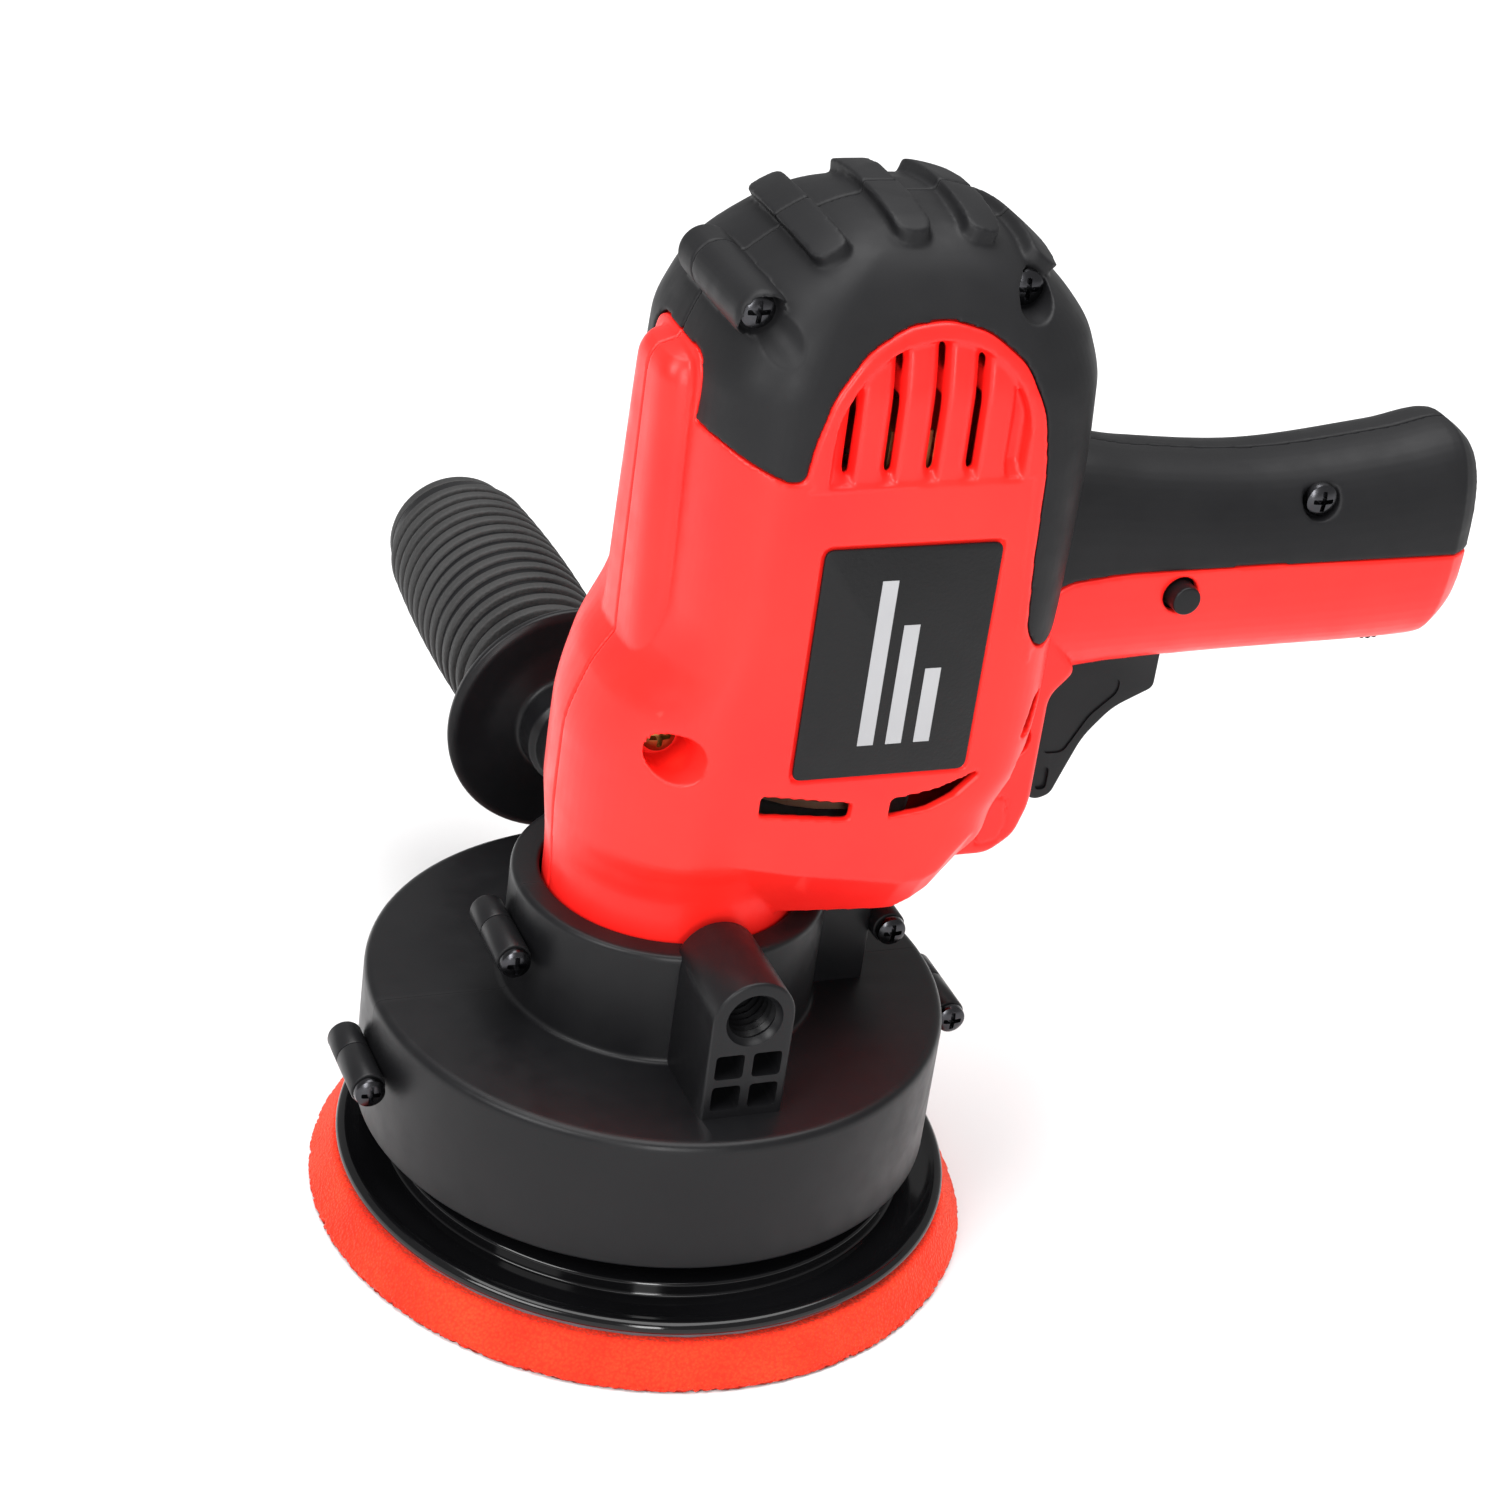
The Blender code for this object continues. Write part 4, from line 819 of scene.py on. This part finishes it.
def engraved_mark(side):
    """Rounded line engraved on the web near the nose."""
    corners = [(64.5, 91.0), (71.0, 91.8), (72.6, 96.0), (71.5, 104.0), (64.0, 104.5)]
    inner = [(65.5, 92.0), (70.4, 92.7), (71.6, 96.2), (70.6, 103.1), (65.0, 103.5)]
    low, high = span_y(side, WEB_HALF - 0.8, WEB_HALF + 3)
    mark = slab("mark", rounded(corners, 2.2), low, high)
    return carve(mark, slab("mark_in", rounded(inner, 1.6), low - 1, high + 1))


def screw_rooms(side):
    """Holes, seats and liners' rooms of the housing screws in one red half."""
    if side > 0:
        return [rod("pilot", (x, -1, z), (x, 12.5, z), PILOT_R) for x, z, depth in HOUSING_SCREWS]
    rooms = []
    for screw in HOUSING_SCREWS:
        x, z, depth = screw
        rooms.append(rod("hole", (x, -40, z), (x, 1, z), SHANK_R))
        if screw in COVERED_SCREWS:
            rooms.append(rod("liner_room", (x, -60, z), (x, 1.0 - depth, z), LINER_R + GAP, 40))
        else:
            rooms.append(rod("seat", (x, -60, z), (x, -depth, z), SEAT_R, 48))
    x, z, depth = HOUSING_SCREWS[0]
    rooms.append(scoop_pad(GAP))
    rooms.append(rod("mouth", (x + 0.3, -35, z - 0.5), (x, -27.0, z), MOUTH_R, 48, SEAT_R))
    return rooms

def motor_rooms():
    """Round rooms of the stator and of the upper bearing's sleeve."""
    return [rod("stator_room", (MOTOR_X, 0, 133), (MOTOR_X, 0, 175), 27.6, 64),
            rod("sleeve_room", (MOTOR_X, 0, 200), (MOTOR_X, 0, 216), 13.6, 64)]

def control_rooms(side):
    """Rooms of the trigger, the speed dial, the cord inlet and the lock button."""
    low, high = box_mm("speed_dial")
    rooms = [cuboid("trigger_room", (79.2, -9.5, 120), (107.8, 9.5, 150)),
             cuboid("dial_room", (low.x - 1, -5.0, 120), (high.x + 1, 5.0, high.z + 1)), inlet_room()]
    if side < 0:
        x, z = middle_xz("lock_button")
        rooms += [rod("lock_room", (x, -40, z), (x, 0, z), 4.2),
                  rod("lock_flange_room", (x, -14.2, z), (x, -5, z), 5.9)]
    return rooms

def housing_half(side, tag):
    """One red clam-shell half, moulded."""
    item = outer_shape("housing_shell_" + tag)
    recess = carve(cover_region(GAP), under_cover_shape(COVER_T + GAP), keel_room("keel_keep"))
    cavity = cavity_shape()
    near, far = span_y(side, 0.0, 36.0)
    for x, z, depth in HOUSING_SCREWS:
        carve(cavity, rod("post", (x, near, z), (x, far, z), POST_R))
    carve(cavity, cuboid("bearing_rib", (-3, near, 207.5), (58, far, 212.5)))
    carve(item, recess, cavity)
    low, high = span_y(side, BODY_HALF - 0.9, BODY_HALF + 5)
    carve(item, slab("label_pocket", label_outline(GAP + 0.35), low, high))
    unite(item, vent_rim(side))
    carve(item, *vent_cutters(side))
    carve(item, *screw_rooms(side), *motor_rooms(), *control_rooms(side), engraved_mark(side))
    recess_outline = rounded([(63.2, 127.0), (66.0, 127.0), (68.6, 137.0), (65.8, 137.0)], 1.2)
    carve(item, slab("side_recess", recess_outline, *span_y(side, 14.5, 40)))
    clip(item, half_space(side))
    mould(item, VOXEL, 3, 0.3)
    return finish_piece(item, "housing", RED_BODY, ["housing_" + tag], 0)

def inlet_room():
    """Passage of the cord inlet through the end of the handle."""
    z = middle_xz("cord_inlet")[1]
    return rod("inlet_room", (168, 0, z), (190, 0, z), 7.4)


def dome_ribs():
    """Raised ribs with rounded ends that follow the dome from side to side."""
    ribs = []
    for tilt, near in RIBS:
        lean = math.radians(tilt)
        ahead = Vector((math.sin(lean), math.cos(lean)))
        side = Vector((ahead.y, -ahead.x)) * 3.5
        foot = Vector((30.0, 205.0)) + ahead * 10.0
        top = Vector((30.0, 205.0)) + ahead * 50.0
        corners = (foot - side, foot + side, top + side * 1.15, top - side * 1.15)
        rib = bevel(slab("dome_rib", [tuple(corner) for corner in corners], -near, near), 2.6, 4)
        ribs.append(clip(rib, dome_loft("rib_top", -2.2)))
    return ribs


def scoop_pad(grow):
    """Thick place of the soft cover in which the front dome screw's mouth is scooped."""
    x, z, depth = HOUSING_SCREWS[1]
    return rod("scoop_pad", (x + 2.6, -60, z - 4.0), (x + 2.6, 2.0 - depth, z - 4.0), 9.6 + grow, 48)


def screw_liner(x, z, depth):
    """Sleeve of the soft cover that lines a sunk screw, cut to the body's face."""
    liner = rod("liner", (x, -60, z), (x, 1.2 - depth, z), LINER_R, 48)
    if z < 200:
        return clip(liner, grip_loft("liner_face", 0.0))
    return clip(liner, dome_loft("liner_face", 0.0))


def cover_half(side, tag):
    """Soft black cover of one half."""
    item = outer_shape("soft_cover_" + tag)
    unite(item, *dome_ribs())
    tube_x, tube_z, depth = HOUSING_SCREWS[1]
    tube = bevel(rod("tube", (tube_x, -27.5, tube_z), (tube_x, TUBE_FAR, tube_z), TUBE_R, 64), 2.4, 5)
    unite(item, tube)
    clip(item, cover_region(0.0))
    carve(item, under_cover_shape(COVER_T))
    carve(item, keel_room("keel_room", GAP + 0.1))
    if side < 0:
        unite(item, *[screw_liner(*screw) for screw in COVERED_SCREWS])
        unite(item, clip(scoop_pad(0.0), dome_loft("pad_face", 0.0)))
        for x, z, depth in COVERED_SCREWS:
            carve(item, rod("bore", (x, -60, z), (x, -depth, z), 4.5, 48),
                  rod("shank", (x, -30, z), (x, 5, z), SHANK_R))
        carve(item, rod("scoop", (tube_x + 2.6, -35.0, tube_z - 4.5), (tube_x, -22.0, tube_z),
                        8.5, 64, 4.5))
    else:
        for x, z, depth in HOUSING_SCREWS:
            if z > 200:
                carve(item, rod("shank_hole", (x, -30, z), (x, 12, z), 2.3))
    carve(item, inlet_room())
    clip(item, half_space(side, COVER_SEAM))
    mould(item, VOXEL, 4, 0.4)
    return finish_piece(item, "housing", SOFT_BLACK, ["grip_cover_" + tag], 0)


def rating_plate(side, tag):
    """Grained plate, with a few plain bars in place of any mark."""
    low, high = span_y(side, BODY_HALF - 0.55, BODY_HALF + 0.15)
    item = bevel(slab("rating_plate_" + tag, label_outline(0.0), low, high), 0.25, 2, 60)
    finish_piece(item, "housing", SOFT_BLACK, ["label_plate_" + tag], 30, "label")
    low, high = span_y(side, BODY_HALF + 0.05, BODY_HALF + 0.22)
    print_bars = cuboid("plate_print_" + tag, (24.0, low, 130.0), (27.6, high, 168.5))
    for x, foot, top in ((30.4, 130.0, 158.0), (36.8, 130.0, 147.5)):
        join_loose(print_bars, cuboid("bar", (x, low, foot), (x + 3.6, high, top)))
    return finish_piece(print_bars, "housing", SOFT_BLACK, [], 30, "print")


def join_loose(target, other):
    """Add another object's mesh to the target as it is."""
    bm = bmesh.new()
    bm.from_mesh(target.data)
    bm.from_mesh(other.data)
    bm.to_mesh(target.data)
    bm.free()
    bpy.data.objects.remove(other, do_unlink=True)
    return target


def pan_screw(name, x, z, seat, tip, shank, head, tall, node, finish=None):
    """Pan-head cross-slot screw along Y with a threaded shank."""
    dome = [(head - 0.15, seat), (head, seat - 0.3), (head * 0.97, seat - tall * 0.45)]
    dome += [(head * math.cos(a), seat - tall * (0.45 + 0.55 * math.sin(a))) for a in
             (math.radians(d) for d in (20, 40, 60, 78))]
    dome += [(0.0, seat - tall)]
    thread = []
    y = seat + 0.4
    while y < tip - 1.5:
        thread += [(shank * 0.8, y), (shank, y + 0.45)]
        y += 0.9
    profile = [(0.0, tip), (shank * 0.5, tip - 1.0)] + thread[::-1] + [(shank * 0.8, seat)] + dome
    item = turned(name, profile, (x, z), 32, "Y")
    out, deep = seat - tall - 1, seat - tall * 0.35
    reach = head * 0.62
    for turn in (0, 1):
        wide, high = (reach, 0.55) if turn else (0.55, reach)
        outline = rectangle(x - wide, z - high, x + wide, z + high, 0.3, 2)
        carve(item, slab("slot", outline, out, deep))
    return finish_piece(item, "housing", "black_steel", [node], 35, finish)


def all_screws():
    """Every visible screw, at its solid's place."""
    for i, (x, z, depth) in enumerate(HOUSING_SCREWS, 1):
        pan_screw(f"case_screw_{i}", x, z, -depth - GAP, 8.0, 1.7, 3.9, 2.8, f"housing_screw_{i}",
                  "zinc" if i == 1 else None)
    for i, (x, z) in enumerate(SHROUD_SCREWS, 1):
        pan_screw(f"drum_screw_{i}", x, z, -SHROUD_TUBE_NEAR - GAP, 6.8, 1.6, 3.5, 2.3, f"shroud_screw_{i}")


# --- drum

def shroud_outline():
    """Fine section of drum, collar and lower bearing seat."""
    inside, ceiling = DRUM_R - 2.5, DRUM_TOP - 2.5
    corners = [(DRUM_R, DRUM_LOW, 0.5), (DRUM_R, DRUM_TOP, 2.0), (COLLAR_R, DRUM_TOP, 1.2),
               (COLLAR_R, COLLAR_TOP, 1.4), (COLLAR_BORE_R, COLLAR_TOP, 0.8), (COLLAR_BORE_R, 71.0, 0.5),
               (14.3, 71.0, 0.4), (14.3, 59.5, 0), (10.5, 59.5, 0), (10.5, 57.0, 0.3), (17.5, 57.0, 0.5),
               (17.5, 65.5, 0.5), (31.5, 65.5, 1.0), (31.5, ceiling, 0.8), (inside, ceiling, 2.0),
               (inside, DRUM_LOW, 0.5)]
    return soften(corners, 6, 1.25)


def handle_boss(side):
    """Arch-topped block that takes the side handle, with rounded edges."""
    crown = arc((0, HANDLE_AXIS_Z), BOSS_HALF, BOSS_HALF, 0, 180, 25)
    outline = [(BOSS_HALF, 50.0)] + crown + [(-BOSS_HALF, 50.0)]
    low, high = span_y(side, 30.5, BOSS_FACE_Y)
    return bevel(slab("boss", outline, low, high), 0.7, 3, 50)


def boss_cutters(side):
    """Bore with a real thread form, and the four pockets."""
    bottom, pitch, minor = 29.8, 2.0, BOSS_BORE_R - 0.75
    profile = [(0.0, bottom), (minor, bottom)]
    y = 31.0
    while y < BOSS_FACE_Y - 3.0:
        profile += [(minor, y), (BOSS_BORE_R, y + pitch / 2)]
        y += pitch
    profile += [(minor, BOSS_FACE_Y - 1.6), (BOSS_BORE_R, BOSS_FACE_Y - 0.8),
                (BOSS_BORE_R + 0.6, BOSS_FACE_Y + 0.6), (0.0, BOSS_FACE_Y + 1.0)]
    profile = [(r, side * h) for r, h in profile]
    tools = [turned("bore", profile, HANDLE_AXIS, 48, "Y")]
    low, high = span_y(side, BOSS_FACE_Y - 10, BOSS_FACE_Y + 5)
    for x in (-7.4, 1.0):
        for z in (56.4, 64.2):
            outline = rectangle(x, z, x + 6.4, z + 6.0, 1.0, 4)
            tools.append(slab("pocket", outline, low, high))
    return tools


def shroud_half(side, tag):
    """One half of the black drum and collar."""
    item = turned("drum_shell_" + tag, shroud_outline(), steps=192)
    unite(item, handle_boss(side))
    near = -SHROUD_TUBE_NEAR if side < 0 else SHROUD_TUBE_FAR
    for x, z in SHROUD_SCREWS:
        unite(item, bevel(rod("tube", (x, 0.0, z), (x, near, z), SHROUD_TUBE_R, 40), 0.5, 2))
    low, high = span_y(side, -0.2, 9.5)
    block = bevel(cuboid("block", (COLLAR_R - 3, low, DRUM_TOP - 2.0), (46.5, high, 76.5)), 1.2, 4)
    unite(item, block)
    carve(item, *boss_cutters(side))
    for x, z in SHROUD_SCREWS:
        carve(item, rod("shank_hole", (x, -20, z), (x, 7.4, z), 1.9))
    clip(item, half_space(side, COVER_SEAM))
    return finish_piece(item, "housing", DARK, ["shroud_" + tag], 32)


# --- side handle

def side_handle():
    """Side handle with its disc flange, soft ribbed sleeve, end cap and stud."""
    face = BOSS_FACE_Y + GAP
    corners = [(11.2, face, 0.6), (11.2, 62.0, 0.5), (12.6, 63.5, 0.6), (12.6, 70.6, 1.5),
               (20.0, 72.6, 2.0), (27.6, 71.6, 0.9), (29.5, 72.6, 0.7), (29.2, 74.6, 0.8),
               (26.0, 75.2, 1.5), (18.5, 77.6, 2.0), (16.2, 81.0, 2.0), (17.4, 92.0, 6.0),
               (19.4, 108.0, 8.0), (19.8, 124.0, 8.0), (19.0, 142.0, 8.0), (17.2, 158.0, 5.0),
               (17.0, 168.0, 0.5), (9.0, 168.0, 0.3), (9.0, 150.0, 0.3), (4.8, 150.0, 0.2),
               (4.8, face, 0.3)]
    grip = turned("side_grip", soften(corners, 6), HANDLE_AXIS, 96, "Y")
    finish_piece(grip, "housing", DARK, ["side_handle_grip"], 40)
    rings = []
    for i in range(14):
        y = 92.0 + i * 5.2
        r = 19.9 - abs(y - 122.0) ** 2 / 900.0
        section = [(r - 2.0, y), (r + 0.55, y + 0.4), (r + 0.55, y + 3.0), (r - 2.0, y + 3.4)]
        rings.append(turned("ring", rounded(section, 0.6, 3), HANDLE_AXIS, 72, "Y"))
    sleeve = rings[0]
    sleeve.name = "grip_sleeve_rings"
    for ring in rings[1:]:
        join_loose(sleeve, ring)
    finish_piece(sleeve, "housing", "rubber", [], 40)
    corners = [(17.0, 168.3, 0.4), (16.6, 172.5, 2.0), (11.0, 174.8, 2.0), (0.0, 175.0, 0),
               (0.0, 160.0, 0), (8.6, 160.0, 0.3), (8.6, 168.3, 0.2)]
    cap = turned("side_cap", soften(corners, 5), HANDLE_AXIS, 72, "Y")
    finish_piece(cap, "housing", "rubber", ["side_handle_cap"], 40)
    profile = [(0.0, 146.0), (4.2, 146.0), (4.5, 145.5), (4.5, 56.0)]
    y = 55.0
    while y > 37.0:
        profile += [(5.6, y), (4.7, y - 0.9)]
        y -= 1.8
    profile += [(4.4, 36.0), (0.0, 36.0)]
    stud = turned("side_stud", profile, HANDLE_AXIS, 40, "Y")
    finish_piece(stud, "housing", "steel", ["side_handle_stud"], 35)


# --- pad

def pad_stack():
    """Glossy backing plate and the foam pad under it."""
    corners = [(67.8, 10.6, 0.3), (PLATE_R, 11.2, 0.8), (PLATE_R, 13.0, 1.4), (68.2, 13.9, 1.2),
               (66.0, 13.3, 2.0), (58.9, 13.2, 0.8), (58.9, 16.4, 0.9), (56.0, 16.9, 1.5),
               (30.0, 17.0, 2.0), (24.0, 18.0, 1.5), (22.0, 20.7, 0.8), (4.4, 20.7, 0.3),
               (4.4, 13.6, 0), (8.4, 13.6, 0), (8.4, 10.6, 0)]
    plate = turned("glossy_plate", soften(corners, 6), PAD_AXIS, 192)
    finish_piece(plate, "pad", GLOSS, ["backing_plate"], 35)
    top = FOAM_HIGH.z
    edge = rounded([(PAD_R - 0.3, 0.0), (PAD_R - 0.1, 1.4), (70.0, top), (0.0, top), (0.0, 0.0)],
                   [0.6, 1.6, 0.9, 0, 0], 6)
    fine = []
    for a, b in zip(edge, edge[1:] + edge[:1]):
        span = (Vector(b) - Vector(a)).length
        pieces = max(1, int(span / (0.45 if a[0] > 60 and b[0] > 60 else 6.0)))
        fine += [tuple(Vector(a).lerp(Vector(b), i / pieces)) for i in range(pieces)]
    foam = turned("polishing_pad", fine, PAD_AXIS, 720)
    for vertex in foam.data.vertices:
        place = vertex.co / MM
        out = Vector((place.x, place.y - PAD_Y))
        radius = out.length
        if radius < 62.0:
            continue
        foot = max(0.0, 1.0 - place.z / 2.6)
        bite = noise.fractal(place * 0.9, 0.6, 2.2, 4) * (0.10 + 0.85 * foot)
        swell = noise.noise(place * 0.09) * 0.35
        push = min(bite + swell, 0.25)
        scale = (radius + push) / radius
        vertex.co.x = out.x * scale * MM
        vertex.co.y = (out.y * scale + PAD_Y) * MM
        if place.z < 0.4:
            vertex.co.z = max(0.0, vertex.co.z)
    finish_piece(foam, "pad", "foam", ["foam_pad"], 0)


# --- controls

def trigger_piece():
    """Trigger blade with soft edges, a finger hollow and a slot at its tip."""
    blade = [(79.8, 98.6), (82.5, 97.4), (86.0, 98.6), (88.0, 104.0), (91.5, 113.0), (97.5, 120.0),
             (106.9, 124.5), (106.9, 135.0), (79.8, 135.0)]
    outline = rounded(blade, [1.5, 1.5, 1.5, 3, 3, 3, 1.5, 1, 1], 5)
    item = bevel(slab("trigger_blade", outline, -9.0, 9.0), 1.6, 4, 50)
    for side in (-1, 1):
        low, high = span_y(side, 8.2, 12)
        outline = rectangle(81.6, 100.2, 84.4, 106.0, 1.3)
        carve(item, slab("tip_slot", outline, low, high))
        outline = rounded([(82.0, 109.5), (87.0, 109.5), (92.0, 118.5), (98.0, 124.0),
                           (98.0, 127.5), (82.0, 127.5)], 1.5)
        carve(item, slab("side_hollow", outline, *span_y(side, 8.55, 12)))
    unite(item, bevel(cuboid("plunger", (90.0, -2.6, 134.0), (96.0, 2.6, 147.5)), 0.3, 2))
    finish_piece(item, "trigger", DARK, ["trigger"], 40)


def small_controls():
    """Lock-on button, ridged speed dial and the cord inlet gland."""
    low, high = box_mm("lock_button")
    corners = [(0.0, low.y, 0), (3.3, low.y, 0.5), (3.6, -12.4, 0), (5.2, -12.4, 0.2), (5.2, high.y, 0.2),
               (0.0, high.y, 0)]
    button = turned("lock_on_button", soften(corners, 5), middle_xz("lock_button"), 40, "Y")
    finish_piece(button, "lock_button", DARK, ["lock_button"], 40)
    low, high = box_mm("speed_dial")
    centre = middle_xz("speed_dial")
    radius = (high.x - low.x) / 2
    outline = []
    ridges = 36
    for i in range(ridges * 4):
        a = 2 * math.pi * i / (ridges * 4)
        r = radius - (0.0, 0.15, 0.6, 0.15)[i % 4]
        outline.append((centre[0] + r * math.cos(a), centre[1] + r * math.sin(a)))
    dial = bevel(slab("speed_wheel", outline, low.y, high.y), 0.35, 2, 60)
    finish_piece(dial, "speed_dial", DARK, ["speed_dial"], 40)
    low, centre_z = box_mm("cord_inlet")[0], middle_xz("cord_inlet")[1]
    corners = [(3.6, 0.0, 0.3), (3.6, 8.2, 0.8), (5.5, 8.2, 0.8), (8.6, 7.2, 1.2), (9.2, 5.6, 0.6),
               (9.1, 4.8, 0.3), (6.8, 4.6, 0.2), (6.8, 0.0, 0.4)]
    gland = turned("cord_gland", soften(corners, 4), steps=56)
    turn = Matrix.Translation((low.x * MM, 0.0, centre_z * MM)) @ Matrix.Rotation(math.pi / 2, 4, "Y")
    gland.data.transform(turn)
    finish_piece(gland, "housing", "rubber", ["cord_inlet"], 35)


# --- what shows through the vents

def dress_inner_nodes():
    """Give every carried-over solid its material and a small rounding on its edges."""
    slots = {part["node"]: part["material_slot"] for part in frame["record"]["subparts"]}
    for name, item in frame["nodes"].items():
        if item.hide_render:
            continue
        item.data.materials.clear()
        item.data.materials.append(MATERIALS["fan" if name == "cooling_fan" else slots[name]])
        step = item.modifiers.new("edge", "BEVEL")
        step.width = 0.12 * MM
        step.segments = 2
        step.limit_method = "ANGLE"
        step.angle_limit = math.radians(35)


# --- stage

def add_camera():
    """Camera at the product picture's angle: seen from the left front, from above, a little rolled."""
    data = bpy.data.cameras.new("camera")
    data.lens = 81.6
    data.sensor_width = 36.0
    data.clip_start = 0.05
    item = bpy.data.objects.new("camera", data)
    bpy.context.scene.collection.objects.link(item)
    around, down, roll = math.radians(-24.5), math.radians(29.077), math.radians(8.195)
    aim = Matrix.Rotation(around, 4, "Z") @ Matrix.Rotation(math.pi / 2 - down, 4, "X")
    item.matrix_world = Matrix.Translation((-0.2528, -0.5879, 0.4700)) @ aim @ Matrix.Rotation(roll, 4, "Z")
    bpy.context.scene.camera = item


def add_light(name, place, target, size, power):
    """A square soft box that faces a target."""
    data = bpy.data.lights.new(name, "AREA")
    data.shape = "RECTANGLE"
    data.size, data.size_y = size
    data.energy = power
    item = bpy.data.objects.new(name, data)
    bpy.context.scene.collection.objects.link(item)
    item.location = place
    aim = Vector(target) - Vector(place)
    item.rotation_euler = aim.to_track_quat("-Z", "Y").to_euler()


def add_studio():
    """Pale floor, even surround and three soft boxes."""
    world = bpy.data.worlds.new("studio")
    world.use_nodes = True
    world.node_tree.nodes["Background"].inputs["Color"].default_value = (1.0, 1.0, 1.0, 1.0)
    world.node_tree.nodes["Background"].inputs["Strength"].default_value = 0.45
    bpy.context.scene.world = world
    add_light("top", (0.15, 0.15, 3.2), (0.0, 0.0, 0.1), (3.0, 3.0), 158.0)
    add_light("key", (-1.1, -0.55, 1.0), (0.0, 0.0, 0.12), (0.7, 0.7), 17.0)
    add_light("front", (-0.30, -1.3, 0.55), (0.0, 0.0, 0.05), (0.22, 0.8), 11.0)
    floor = slab("floor", [(-8, -8), (8, -8), (8, 8), (-8, 8)], -0.02, -0.0003, "Z")
    floor.data.transform(Matrix.Scale(1 / MM, 4))
    floor.data.materials.append(painted_floor("studio_paper"))



bpy.context.scene.view_settings.view_transform = "Standard"
add_camera()
add_studio()
for half, half_tag in ((-1, "left"), (1, "right")):
    housing_half(half, half_tag)
    cover_half(half, half_tag)
    rating_plate(half, half_tag)
    shroud_half(half, half_tag)
all_screws()
side_handle()
pad_stack()
trigger_piece()
small_controls()
dress_inner_nodes()
